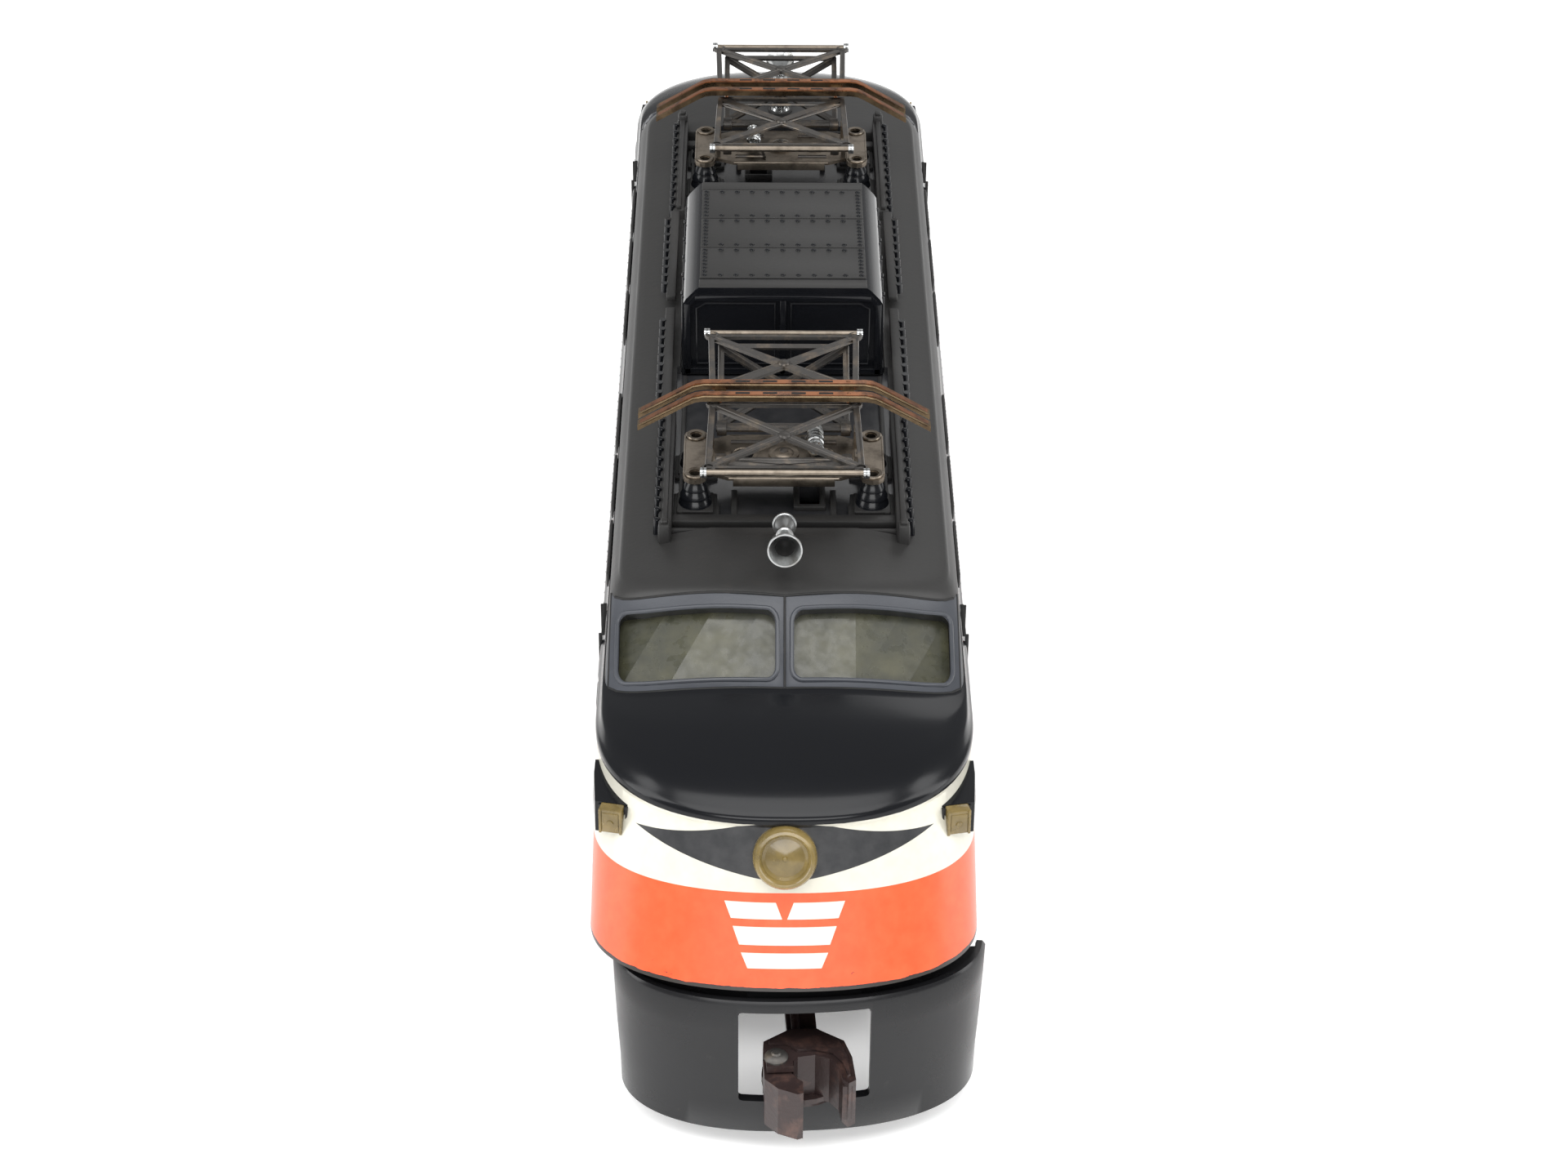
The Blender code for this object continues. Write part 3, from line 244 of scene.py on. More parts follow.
MATERIALS = {
    "bands": painted_bands(),
    "roof": surface("roof_charcoal", (0.023, 0.0225, 0.022), (0.031, 0.028, 0.025), 0.44, patches=28.0,
                    wear=(0.6, 0.9), spread_rough=0.03, depth=0.08, gloss=0.4),
    "hood": surface("hood_gloss_black", (0.005, 0.0055, 0.007), (0.01, 0.0105, 0.012), 0.2, coat=0.12,
                    patches=14.0, gloss=0.22,
                    wear=(0.76, 0.95), bump=0.006, spread_rough=0.015, depth=0.1),
    "visor": surface("windshield_frame", (0.042, 0.046, 0.055), (0.07, 0.075, 0.08), 0.4, wear=(0.66, 0.8)),
    # Near-black for real seams and joints, and also used as painted shade: the grooves round the windshield,
    # the gap beside each marker lens and the throat of each horn.
    "seam": surface("dark_seam_and_painted_shade", (0.006, 0.006, 0.006), (0.015, 0.013, 0.012), 0.7),
    "inside": surface("shell_inside", (0.018, 0.018, 0.018), (0.04, 0.035, 0.03), 0.6),
    "black_moulding": surface("black_moulding_finish", (0.014, 0.015, 0.018), (0.04, 0.04, 0.042), 0.34,
                              coat=0.08, gloss=0.4,
                              wear=(0.66, 0.85)),
    "black_paint": surface("black_paint_finish", (0.009, 0.009, 0.01), (0.03, 0.028, 0.026), 0.3, coat=0.08,
                           gloss=0.3,
                           wear=(0.64, 0.85), bump=0.02),
    "zinc": surface("zinc_finish", (0.42, 0.43, 0.43), (0.2, 0.19, 0.17), 0.26, metallic=1.0,
                    wear=(0.5, 0.72)),
    "bronze": surface("bronze_channel", (0.19, 0.135, 0.08), (0.09, 0.06, 0.04), 0.32, metallic=1.0,
                      patches=90.0,
                      wear=(0.5, 0.7)),
    "nickel": surface("nickel_finish", (0.23, 0.196, 0.158), (0.1, 0.082, 0.064), 0.4, metallic=1.0,
                      patches=90.0,
                      wear=(0.46, 0.7)),
    "dark_steel": surface("dark_steel_finish", (0.085, 0.08, 0.075), (0.2, 0.16, 0.12), 0.42, metallic=0.85,
                          wear=(0.5, 0.75)),
    "copper": surface("copper_finish", (0.4, 0.17, 0.085), (0.13, 0.07, 0.045), 0.34, metallic=1.0,
                      patches=120.0,
                      wear=(0.46, 0.64)),
    "cast_iron": surface("cast_iron_finish", (0.035, 0.035, 0.037), (0.11, 0.09, 0.07), 0.5, metallic=0.5,
                         bump=0.12),
    "tyre": surface("tyre_steel", (0.42, 0.41, 0.4), (0.16, 0.14, 0.12), 0.3, metallic=1.0),
    "coupler_brown": surface("coupler_finish", (0.029, 0.017, 0.016), (0.09, 0.048, 0.038), 0.42,
                             metallic=0.35,
                             coat=0.2, bump=0.14, wear=(0.52, 0.72)),
    "battery_wrap": surface("battery_jacket", (0.26, 0.03, 0.02), (0.4, 0.3, 0.2), 0.35, coat=0.4,
                            wear=(0.66, 0.8)),
    "brass": surface("brass_finish", (0.62, 0.42, 0.15), (0.26, 0.17, 0.07), 0.3, metallic=1.0),
    "glazing": clear_amber("glazing_amber", (0.075, 0.073, 0.042), (0.032, 0.034, 0.024), 0.34, 0.1),
    "amber": clear_amber("lens_amber", (0.3, 0.215, 0.07), (0.13, 0.095, 0.032), 0.2, 0.25),
    "cream": surface("cream_mark", (0.64, 0.62, 0.54), (0.57, 0.54, 0.45), 0.3, coat=0.2, wear=(0.7, 0.85)),
}


# ---- shapes in millimetres ----


class Shape:
    """Collects primitives in one mesh, in millimetres, at the shape's place or at a spot within it."""

    def __init__(self, place=None):
        self.bm = bmesh.new()
        self.place = place

    def settle(self, verts, at=None):
        matrices = [m for m in (self.place, at) if m is not None]
        if matrices:
            matrix = matrices[0] @ matrices[1] if len(matrices) == 2 else matrices[0]
            bmesh.ops.transform(self.bm, matrix=matrix, verts=verts)

    def finish_faces(self, before, slot, at):
        """Gives every face that isn't in before its material slot, and moves it to its place."""
        faces = [f for f in self.bm.faces if f not in before]
        for f in faces:
            f.material_index = slot
        self.settle(list(dict.fromkeys(v for f in faces for v in f.verts)), at)

    def box(self, low, high, bevel=0.0, slot=0, at=None):
        """Two opposite corners, in any order."""
        size = [abs(b - a) for a, b in zip(low, high)]
        middle = [(a + b) / 2 for a, b in zip(low, high)]
        before = set(self.bm.faces)
        made = bmesh.ops.create_cube(self.bm, size=1,
                                     matrix=Matrix.Translation(middle) @ Matrix.Diagonal((*size, 1)))
        verts = made["verts"]
        if bevel:
            edges = list(dict.fromkeys(e for v in verts for e in v.link_edges))
            bmesh.ops.bevel(self.bm, geom=edges, offset=bevel, segments=2, affect="EDGES", profile=0.5)
        self.finish_faces(before, slot, at)

    def rod(self, a, b, radius, end_radius, sides, slot=0):
        a, b = Vector(a), Vector(b)
        spin = Vector((0, 0, 1)).rotation_difference(b - a).to_matrix().to_4x4()
        before = set(self.bm.faces)
        bmesh.ops.create_cone(self.bm, cap_ends=True, segments=sides, radius1=radius, radius2=end_radius,
                              depth=(b - a).length, matrix=Matrix.Translation((a + b) / 2) @ spin)
        self.finish_faces(before, slot, None)

    def lathe(self, profile, steps=32, slot=0, at=None):
        """A profile of (radius, z) turned round Z."""
        rings = []
        for r, z in profile:
            if r < 1e-6:
                rings.append([self.bm.verts.new((0, 0, z))])
            else:
                angles = [2 * math.pi * i / steps for i in range(steps)]
                rings.append([self.bm.verts.new((*on_circle(r, a), z)) for a in angles])
        for low, high in zip(rings, rings[1:]):
            for i in range(steps):
                j = (i + 1) % steps
                corners = [low[i % len(low)], low[j % len(low)], high[j % len(high)], high[i % len(high)]]
                kept = [v for k, v in enumerate(corners) if v not in corners[:k]]
                if len(kept) > 2:
                    self.bm.faces.new(kept).material_index = slot
        self.settle([v for each in rings for v in each], at)

    def dome(self, where, normal, radius, height, slot=0, steps=10):
        """A rivet head on a surface with this normal."""
        spin = Vector((0, 0, 1)).rotation_difference(Vector(normal)).to_matrix().to_4x4()
        profile = [(radius, -0.1), (radius, 0), (radius * 0.82, height * 0.62),
                   (radius * 0.42, height * 0.93),
                   (0, height)]
        self.lathe(profile, steps, slot, Matrix.Translation(Vector(where)) @ spin)

    def tube(self, path, radius, sides=8, slot=0, closed=False, at=None):
        """A round bar along a path."""
        points = [Vector(p) for p in path]
        count = len(points)
        rings = []
        up = None
        for i, point in enumerate(points):
            ahead = points[(i + 1) % count] if closed or i < count - 1 else point
            behind = points[i - 1] if closed or i > 0 else point
            along = (ahead - behind).normalized()
            if up is None:
                up = Vector((0, 0, 1)) if abs(along.z) < 0.9 else Vector((0, 1, 0))
            side = along.cross(up).normalized()
            up = side.cross(along).normalized()
            rings.append([self.bm.verts.new(point + side * radius * math.cos(2 * math.pi * k / sides)
                                            + up * radius * math.sin(2 * math.pi * k / sides))
                          for k in range(sides)])
        pairs = list(zip(rings, rings[1:]))
        if closed:
            pairs.append((rings[-1], rings[0]))
        for low, high in pairs:
            for k in range(sides):
                m = (k + 1) % sides
                self.bm.faces.new((low[k], low[m], high[m], high[k])).material_index = slot
        if not closed:
            self.bm.faces.new(rings[0]).material_index = slot
            self.bm.faces.new(list(reversed(rings[-1]))).material_index = slot
        self.settle([v for each in rings for v in each], at)

    def prism(self, outline, low, high, bevel=0.0, at=None):
        """A flat outline in XY raised from low to high."""
        before = set(self.bm.faces)
        bottom = [self.bm.verts.new((x, y, low)) for x, y in outline]
        top = [self.bm.verts.new((x, y, high)) for x, y in outline]
        self.bm.faces.new(list(reversed(bottom)))
        cap = self.bm.faces.new(top)
        count = len(outline)
        for i in range(count):
            j = (i + 1) % count
            self.bm.faces.new((bottom[i], bottom[j], top[j], top[i]))
        if bevel:
            bmesh.ops.bevel(self.bm, geom=list(cap.edges), offset=bevel, segments=2, affect="EDGES",
                            profile=0.5)
        self.finish_faces(before, 0, at)

    def hull(self, points):
        before = set(self.bm.faces)
        verts = [self.bm.verts.new(Vector(p)) for p in points]
        bmesh.ops.convex_hull(self.bm, input=verts)
        loose = [v for v in verts if not v.link_faces]
        bmesh.ops.delete(self.bm, geom=loose, context="VERTS")
        self.finish_faces(before, 0, None)

    def object(self, name, smooth=35):
        bmesh.ops.recalc_face_normals(self.bm, faces=self.bm.faces)
        self.bm.transform(Matrix.Diagonal((MM, MM, MM, 1)))
        mesh = bpy.data.meshes.new(name)
        self.bm.to_mesh(mesh)
        self.bm.free()
        made = bpy.data.objects.new(name, mesh)
        bpy.context.scene.collection.objects.link(made)
        mesh.shade_smooth()
        mesh.set_sharp_from_angle(angle=math.radians(smooth))
        return made


def piece(obj, body, materials, replaces=()):
    """Gives a finished object its materials, ties it to its body and hides the CAD parts it replaces."""
    for name in materials[len(obj.data.materials):]:
        obj.data.materials.append(MATERIALS[name])
    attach(obj, body)
    if replaces:
        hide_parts(*replaces)
    return obj


# ---- shell ----

SHELL_BOTTOM = 32.0
HALF = 30.4
BAND_BOTTOM = 46.3
BAND_TOP = 56.2
LIP_Z = 57.0
ROOF_TOP = 74.3
CAVITY_TOP = 68.3
NOSE_STEPS = 44
SIDE_STEPS = 8
SIDE_WINDOWS = (-93.0, -101.0)
HORN_Y = 83.0
CROWN = 2.4
WELL_HALF_WIDTH = 19.0
WELL_FLOOR = 70.8
WELL_FRONT = 77.0
HATCH_X = 18.1
HATCH_Y = 21.3
HATCH_TOP = 89.0
BASE_RING = (29.2, 110.6, 98.0, 6.0, 64.4, 61.0, 0.04)
BROW_RING = (28.8, 98.0, 84.5, 6.0, 73.7, 67.4, 0.18)
HEADLIGHT = (138.4, 52.0, 70.0)


def ring_points(half_width, apex, side_start, power, middle_z, edge_z, sweep):
    """One closed ring of the shell: a rounded nose at each end, the crown falling to the sides."""
    quarter = []
    for step in range(NOSE_STEPS + 1):
        angle = math.pi / 2 * step / NOSE_STEPS
        x = half_width * math.sin(angle) ** (2 / power)
        y = side_start + (apex - side_start) * max(math.cos(angle), 0) ** (2 / power)
        quarter.append((x, (y if step < NOSE_STEPS else side_start) - sweep * x))
    last = quarter[-1][1]
    for step in range(1, SIDE_STEPS + 1):
        quarter.append((half_width, last * (1 - step / SIDE_STEPS)))
    right = [(x, -y) for x, y in quarter] + [(x, y) for x, y in reversed(quarter[:-1])]
    loop = right + [(-x, y) for x, y in reversed(right[1:-1])]
    drop = middle_z - edge_z
    return [(x, y, middle_z - drop * (abs(x) / half_width) ** CROWN) for x, y in loop]


def full(params):
    """A ring's numbers with a sweep of 0 where none is given."""
    return tuple(params) + (0.0,) * (7 - len(params))


def rounded_rows(rows, count):
    """Extra rings between the given ones, along a smooth curve through their numbers."""
    rows = [full(r) for r in rows]
    made = []
    for i in range(len(rows) - 1):
        before = rows[max(i - 1, 0)]
        after = rows[min(i + 2, len(rows) - 1)]
        for k in range(count):
            t = k / count
            values = []
            for p0, p1, p2, p3 in zip(before, rows[i], rows[i + 1], after):
                values.append(0.5 * (2 * p1 + (p2 - p0) * t + (2 * p0 - 5 * p1 + 4 * p2 - p3) * t * t
                                     + (3 * p1 - p0 - 3 * p2 + p3) * t**3))
            made.append(tuple(values))
    made.append(rows[-1])
    return made


FOOT_ROWS = [(HALF + 0.6, 147.0, 129.0, 2.3, SHELL_BOTTOM, SHELL_BOTTOM),
             (HALF + 0.1, 140.5, 119.5, 2.35, BAND_BOTTOM, BAND_BOTTOM),
             (HALF - 0.2, 136.6, 108.7, 2.45, BAND_TOP, BAND_TOP)]
HOOD_ROWS = [(HALF, 137.0, 108.5, 2.45, LIP_Z, LIP_Z), (HALF, 136.6, 108.4, 2.45, LIP_Z + 1.1, LIP_Z + 1.1),
             (HALF - 0.4, 135.2, 108.2, 2.45, LIP_Z + 2.0, LIP_Z + 1.8),
             (HALF - 0.7, 132.4, 108.0, 2.5, LIP_Z + 3.4, LIP_Z + 2.5),
             (HALF - 0.8, 128.0, 107.0, 2.6, LIP_Z + 4.9, LIP_Z + 3.2),
             (HALF - 0.9, 119.5, 103.0, 3.2, LIP_Z + 6.7, LIP_Z + 3.8), BASE_RING]
ROOF_ROWS = [BROW_RING, (27.6, 96.4, 83.0, 6.0, 74.2, 69.3, 0.17),
             (25.6, 92.0, 80.0, 4.0, ROOF_TOP, 70.7, 0.1),
             (14.0, 80.0, 70.0, 3.0, ROOF_TOP, 73.4)]
CAVITY_ROWS = [(28.9, 144.4, 128.0, 2.3, SHELL_BOTTOM - 1, SHELL_BOTTOM - 1),
               (28.4, 138.0, 119.0, 2.35, BAND_BOTTOM, BAND_BOTTOM), (28.2, 134.2, 108.7, 2.45, 56.2, 56.0),
               (27.4, 118.0, 101.0, 3.2, 61.4, 58.6), (26.8, 107.0, 96.0, 5.0, 61.8, 59.8),
               (25.6, 97.0, 84.0, 4.0, CAVITY_TOP, 65.6, 0.1), (20.4, 90.0, 80.0, 3.0, CAVITY_TOP, 67.6, 0.1)]


def loft(rows_with_slots):
    """A closed skin through rings. Each row of faces takes the slot listed with its lower ring."""
    shape = Shape()
    bm = shape.bm
    rows = [([bm.verts.new(p) for p in ring_points(*full(params))], slot) for params, slot in rows_with_slots]
    count = len(rows[0][0])
    for (low, slot), (high, _) in zip(rows, rows[1:]):
        for i in range(count):
            j = (i + 1) % count
            bm.faces.new((low[i], low[j], high[j], high[i])).material_index = slot
    bm.faces.new(list(reversed(rows[0][0]))).material_index = rows[0][1]
    top = rows[-1][0]
    for i in range(count // 2):
        corners = []
        for v in (top[i], top[i + 1], top[(count - i - 1) % count], top[(count - i) % count]):
            if v not in corners:
                corners.append(v)
        bm.faces.new(corners).material_index = rows[-1][1]
    return shape


def on_ring(x, params):
    """The point of a ring's front at this x."""
    half_width, apex, side_start, power, middle_z, edge_z, sweep = full(params)
    share = min(abs(x) / half_width, 1)
    y = side_start + (apex - side_start) * max(1 - share**power, 0) ** (1 / power) - sweep * abs(x)
    return Vector((x, -y, middle_z - (middle_z - edge_z) * share**CROWN))


def windshield_point(x, rise, depth):
    """A point of the raked windshield, rise going from 0 at its foot to 1 at the brow."""
    low, high = on_ring(x, BASE_RING), on_ring(x, BROW_RING)
    slope = (on_ring(0, BROW_RING) - on_ring(0, BASE_RING)).normalized()
    return low.lerp(high, rise) + Vector((0, slope.z, -slope.y)) * depth


def pane_outline(x_low, x_high, rise_low, rise_high):
    """Rounded window outline as (x, rise) pairs."""
    corner_x, corner_t = PANE_CORNER
    steps, across = 5, 8
    made = []
    centres = ((x_high - corner_x, rise_low + corner_t, -90), (x_high - corner_x, rise_high - corner_t, 0),
               (x_low + corner_x, rise_high - corner_t, 90), (x_low + corner_x, rise_low + corner_t, 180))
    for k, (cx, ct, first) in enumerate(centres):
        for i in range(steps + 1):
            a = math.radians(first + 90 * i / steps)
            made.append((cx + corner_x * math.cos(a), ct + corner_t * math.sin(a)))
        if k in (1, 3):
            start = made[-1][0]
            end = x_low + corner_x if k == 1 else x_high - corner_x
            for i in range(1, across):
                made.append((start + (end - start) * i / across, made[-1][1]))
    return made


def outlined_block(outline, near, far):
    """A cutter through the windshield, from one depth to another."""
    shape = Shape()
    bm = shape.bm
    fronts = [bm.verts.new(windshield_point(x, t, near)) for x, t in outline]
    backs = [bm.verts.new(windshield_point(x, t, far)) for x, t in outline]
    count = len(outline)
    for i in range(count):
        j = (i + 1) % count
        bm.faces.new((fronts[i], fronts[j], backs[j], backs[i]))
    bm.faces.new(list(reversed(fronts)))
    bm.faces.new(backs)
    bmesh.ops.triangulate(bm, faces=[f for f in bm.faces if len(f.verts) > 4])
    return shape


PANE_CORNER = (1.7, 0.14)
PANES = ((1.4, 27.0, 0.11, 0.84), (-27.0, -1.4, 0.11, 0.84))
MARKER_FAIRING = ((24.2, -128.8, 54.6), (29.9, -127.6, 54.6), (24.2, -129.3, 49.2), (29.9, -128.1, 49.2),
                  (30.3, -120.5, 55.0), (30.2, -117.5, 55.3), (28.0, -117.5, 55.3), (30.6, -117.5, 51.0),
                  (28.4, -117.5, 51.0), (30.6, -121.0, 50.4))


def marker_place(side):
    return shift(side * 27.0, -127.9, 51.9) @ turn(side * 12, "Z")


def headlight_place():
    y, z, rake = HEADLIGHT
    return shift(0, -y, z) @ turn(rake, "X")


def cut_with(target, cutters):
    """Cuts each cutter from the target, then removes it."""
    for cutter in cutters:
        modifier = target.modifiers.new("cut", "BOOLEAN")
        modifier.operation = "DIFFERENCE"
        modifier.object = cutter
        modifier.solver = "EXACT"
        bpy.context.view_layer.update()
        mesh = bpy.data.meshes.new_from_object(target.evaluated_get(bpy.context.evaluated_depsgraph_get()))
        target.modifiers.clear()
        old = target.data
        target.data = mesh
        bpy.data.meshes.remove(old)
        bpy.data.objects.remove(cutter, do_unlink=True)


def cutter_box(low, high, end=None):
    shape = Shape(end)
    shape.box(low, high)
    return shape.object("cutter")


def build_shell():
    rows = [(r, 0) for r in rounded_rows(FOOT_ROWS, 4)]
    rows += [(r, 1) for r in rounded_rows(HOOD_ROWS, 4)][:-1]
    rows += [(BASE_RING, 2)]
    rows += [(r, 3) for r in rounded_rows(ROOF_ROWS, 4)]
    outer = loft(rows)
    for face in outer.bm.faces:
        middle = face.calc_center_median()
        if face.material_index == 2 and (abs(middle.y) < 86 or abs(middle.x) > 28.75):
            face.material_index = 3
    shell = outer.object("shell_skin", 38)
    inner = loft([(r, 4) for r in CAVITY_ROWS]).object("cutter")
    for name in ("bands", "hood", "visor", "roof", "inside"):
        shell.data.materials.append(MATERIALS[name])
        inner.data.materials.append(MATERIALS[name])
    cutters = [inner]
    for _, end in ENDS:
        for pane in PANES:
            block = outlined_block(pane_outline(*pane), -3, 7)
            bmesh.ops.transform(block.bm, matrix=end, verts=block.bm.verts)
            cutters.append(block.object("cutter"))
        cutters.append(cutter_box((-WELL_HALF_WIDTH, -WELL_FRONT, WELL_FLOOR),
                                  (WELL_HALF_WIDTH, -HATCH_Y + 1, 80), end))
        cutters.append(cutter_box((2.7, -66.2, 60), (6.1, -59.2, 80), end))
        for y in SIDE_WINDOWS:
            cutters.append(cutter_box((-40, y - 2.6, 49.0), (40, y + 2.6, 56.5), end))
        hole = Shape(end @ headlight_place())
        hole.rod((0, 0, -9), (0, 0, 4), 4.3, 4.3, 32)
        cutters.append(hole.object("cutter"))
    cutters.append(cutter_box((-HATCH_X - 0.35, -HATCH_Y - 0.35, WELL_FLOOR),
                              (HATCH_X + 0.35, HATCH_Y + 0.35, 80)))
    cutters.append(cutter_box((-14, -17, 60), (14, 17, 80)))
    cut_with(shell, cutters)
    shell.data.shade_smooth()
    shell.data.set_sharp_from_angle(angle=math.radians(38))
    piece(shell, ROOT, ("bands", "hood", "visor", "roof", "inside"), ("body_shell",))


def build_windshield_trim(end_name, end):
    """A raised lip round each pane, the seam between the panes, and dark lines painted as the shade of the
    grooves under the brow, at the windshield's foot and down its sides.
    """
    trim = Shape(end)
    for pane in PANES:
        outline = pane_outline(pane[0] - 0.25, pane[1] + 0.25, pane[2] - 0.02, pane[3] + 0.02)
        trim.tube([windshield_point(x, t, -0.02) for x, t in outline], 0.38, closed=True)
    seam = [windshield_point(0, t / 10, -0.02) for t in range(0, 11)]
    trim.tube(seam, 0.2, 6, 1)
    # Painted shade: a dark tube standing in for the shaded groove under the brow.
    brow = [on_ring(x, BROW_RING) + Vector((0, 0.15, 0.05)) for x in [-27.8
                                                                      + 55.6 * i / 40 for i in range(41)]]
    trim.tube(brow, 0.24, 6, 1)
    # Painted shade: a dark tube standing in for the shaded crease at the windshield's foot.
    base = [on_ring(x, BASE_RING) + Vector((0, 0.1, 0.0)) for x in [-28.4 + 56.8 * i / 40 for i in range(41)]]
    trim.tube(base, 0.2, 6, 1)
    # Painted shade: dark tubes standing in for the shaded grooves down each side of the windshield.
    for side in (-1, 1):
        edge = [windshield_point(side * 28.5, t / 12, 0.0) for t in range(0, 13)]
        trim.tube(edge, 0.16, 6, 1)
    piece(trim.object(f"windshield_trim_{end_name}"), ROOT, ("visor", "seam"))


def build_fairings(end_name, end):
    """The block behind each marker lens, with a dark bar on its inner side painted as the shade of the gap
    there.
    """
    made = Shape(end)
    for side in (-1, 1):
        made.hull([(side * x, y, z) for x, y, z in MARKER_FAIRING])
        made.box((-2.3, -0.75, -2.35), (2.3, -0.3, 2.35), 0.12, 1, at=marker_place(side))
        # Painted shade: a thin dark bar standing in for the shadowed gap beside the lens.
        made.box((-side * 2.35 - 0.18, -1.2, -3.0), (-side * 2.35 + 0.18, 0.4, 2.5), 0.05, 1,
                 at=marker_place(side))
    piece(made.object(f"marker_fairings_{end_name}"), ROOT, ("hood", "seam"))


def marker_lens(name, place):
    """A square lens with a raised face and side bars."""
    lens = Shape(place)
    lens.box((-1.9, -2.1, -1.9), (1.9, 1.3, 2.6), 0.3)
    lens.box((-1.35, -2.25, -1.4), (1.35, -1.9, 2.0), 0.15)
    for side in (-1, 1):
        lens.box((side * 1.65 - 0.22, -2.3, -1.9), (side * 1.65 + 0.22, -1.8, 2.6), 0.1)
    lens.rod((0, -2.45, 0.1), (0, -1.9, 0.1), 0.55, 0.7, 14)
    piece(lens.object(name), ROOT, ("amber",), (name.replace("_glass", ""),))


def build_headlight(end_name, end):
    """A raised ring round a dished lens with a small centre point, over a bright bowl."""
    place = end @ headlight_place()
    lens = Shape(place)
    lens.lathe([(3.75, -2.0), (5.0, -0.6), (5.05, 0.6), (4.95, 1.5), (4.6, 2.1), (4.15, 2.2), (3.8, 1.9),
                (3.6, 1.2), (3.1, 0.95), (2.0, 1.15), (1.0, 1.3), (0.45, 1.35), (0.3, 1.6), (0, 1.65)], 48)
    lens.lathe([(3.6, -2.0), (3.0, -3.3), (1.5, -3.9), (0, -4.0)], slot=1)
    for i in range(5):
        a = math.radians(200 + 34 * i)
        lens.dome((*on_circle(4.4, a), 2.05), (0, 0, 1), 0.16, 0.14, steps=8)
    piece(lens.object(f"headlight_{end_name}"), ROOT, ("amber", "zinc"),
          (f"headlight_lens_{end_name}",))


def insulator(shape, x, y):
    """A stack of sheds on two square pads."""
    shape.box((x - 3.7, y - 3.7, WELL_FLOOR - 0.3), (x + 3.7, y + 3.7, WELL_FLOOR + 0.7), 0.2)
    shape.box((x - 3.1, y - 3.1, WELL_FLOOR + 0.6), (x + 3.1, y + 3.1, WELL_FLOOR + 1.3), 0.2)
    profile = [(2.9, 71.9), (2.75, 72.5), (2.3, 73.3), (2.6, 73.45), (2.55, 73.75), (1.95, 74.8),
               (2.2, 74.95),
               (2.15, 75.2), (1.55, 76.3), (1.3, 76.65), (0, 76.7)]
    shape.lathe(profile, 28, 1, at=shift(x, y, 0))


def build_roof_details(end_name, end):
    """Rails with posts and lugs, the well's ribs and the horn's pad."""
    roof = Shape(end)
    for x in (-15.0, 15.0):
        for y in (-66.3, -53.7):
            insulator(roof, x, y)
    for side in (-1, 1):
        x = side * 19.9
        roof.box((x - 1.1, -79.0, 70.2), (x + 1.1, -38.0, 74.2), 0.25)
        roof.box((x - 0.45, -78.6, 74.0), (x + 0.45, -38.4, 75.0), 0.2)
        roof.box((x - 0.95, -79.6, 70.2), (x + 0.95, -77.6, 75.6), 0.3)
        roof.box((x - 0.6, -79.2, 75.5), (x + 0.6, -78.0, 76.3), 0.25)
        for i in range(12):
            y = -75.8 + 3.3 * i
            roof.rod((x + side * 1.3, y, 71.2), (x + side * 1.3, y, 74.5), 0.72, 0.6, 14, 1)
            roof.dome((x + side * 1.3, y, 74.45), (0, 0, 1), 0.6, 0.3, 1, 12)
        # Ledge and lugs beside the hatch
        roof.box((side * 20.6 - 0.9, -37.0, 73.5), (side * 20.6 + 0.9, -2.2, 74.7), 0.25)
        for i in range(9):
            y = -33.5 + 3.3 * i
            roof.rod((side * 21.9, y, 73.0), (side * 21.9, y, 74.75), 0.72, 0.6, 14, 1)
        roof.box((side * 17.5 - 0.35, -69.5, 70.6), (side * 17.5 + 0.35, -23.0, 72.0), 0.12)
        roof.box((side * 8.4 - 0.5, -70.8, 70.6), (side * 8.4 + 0.5, -62.0, 71.9), 0.15)
        roof.box((side * 11.3 - 0.4, -70.8, 70.6), (side * 11.3 + 0.4, -66.0, 71.6), 0.15)
    roof.box((-18.9, -73.0, 70.3), (18.9, -70.6, 72.4), 0.35)
    roof.box((-18.9, -76.6, 70.3), (18.9, -75.8, 72.9), 0.2)
    roof.box((-17.0, -49.5, 70.5), (17.0, -48.6, 71.5), 0.2)
    roof.box((-17.0, -26.0, 70.5), (17.0, -25.2, 71.7), 0.2)
    # Frame round the lever's slot
    for low, high in (((1.7, -67.2), (7.1, -66.2)), ((1.7, -59.2), (7.1, -58.2)),
                      ((1.7, -66.3), (2.7, -59.1)),
                      ((6.1, -66.3), (7.1, -59.1))):
        roof.box((*low, 70.6), (*high, 71.7), 0.15)
    # Pad under the horn
    roof.lathe([(2.5, 73.9), (2.4, 74.7), (1.9, 75.1), (0, 75.1)], 28, at=shift(0, -HORN_Y, 0))
    piece(roof.object(f"roof_details_{end_name}"), ROOT, ("roof", "hood"))


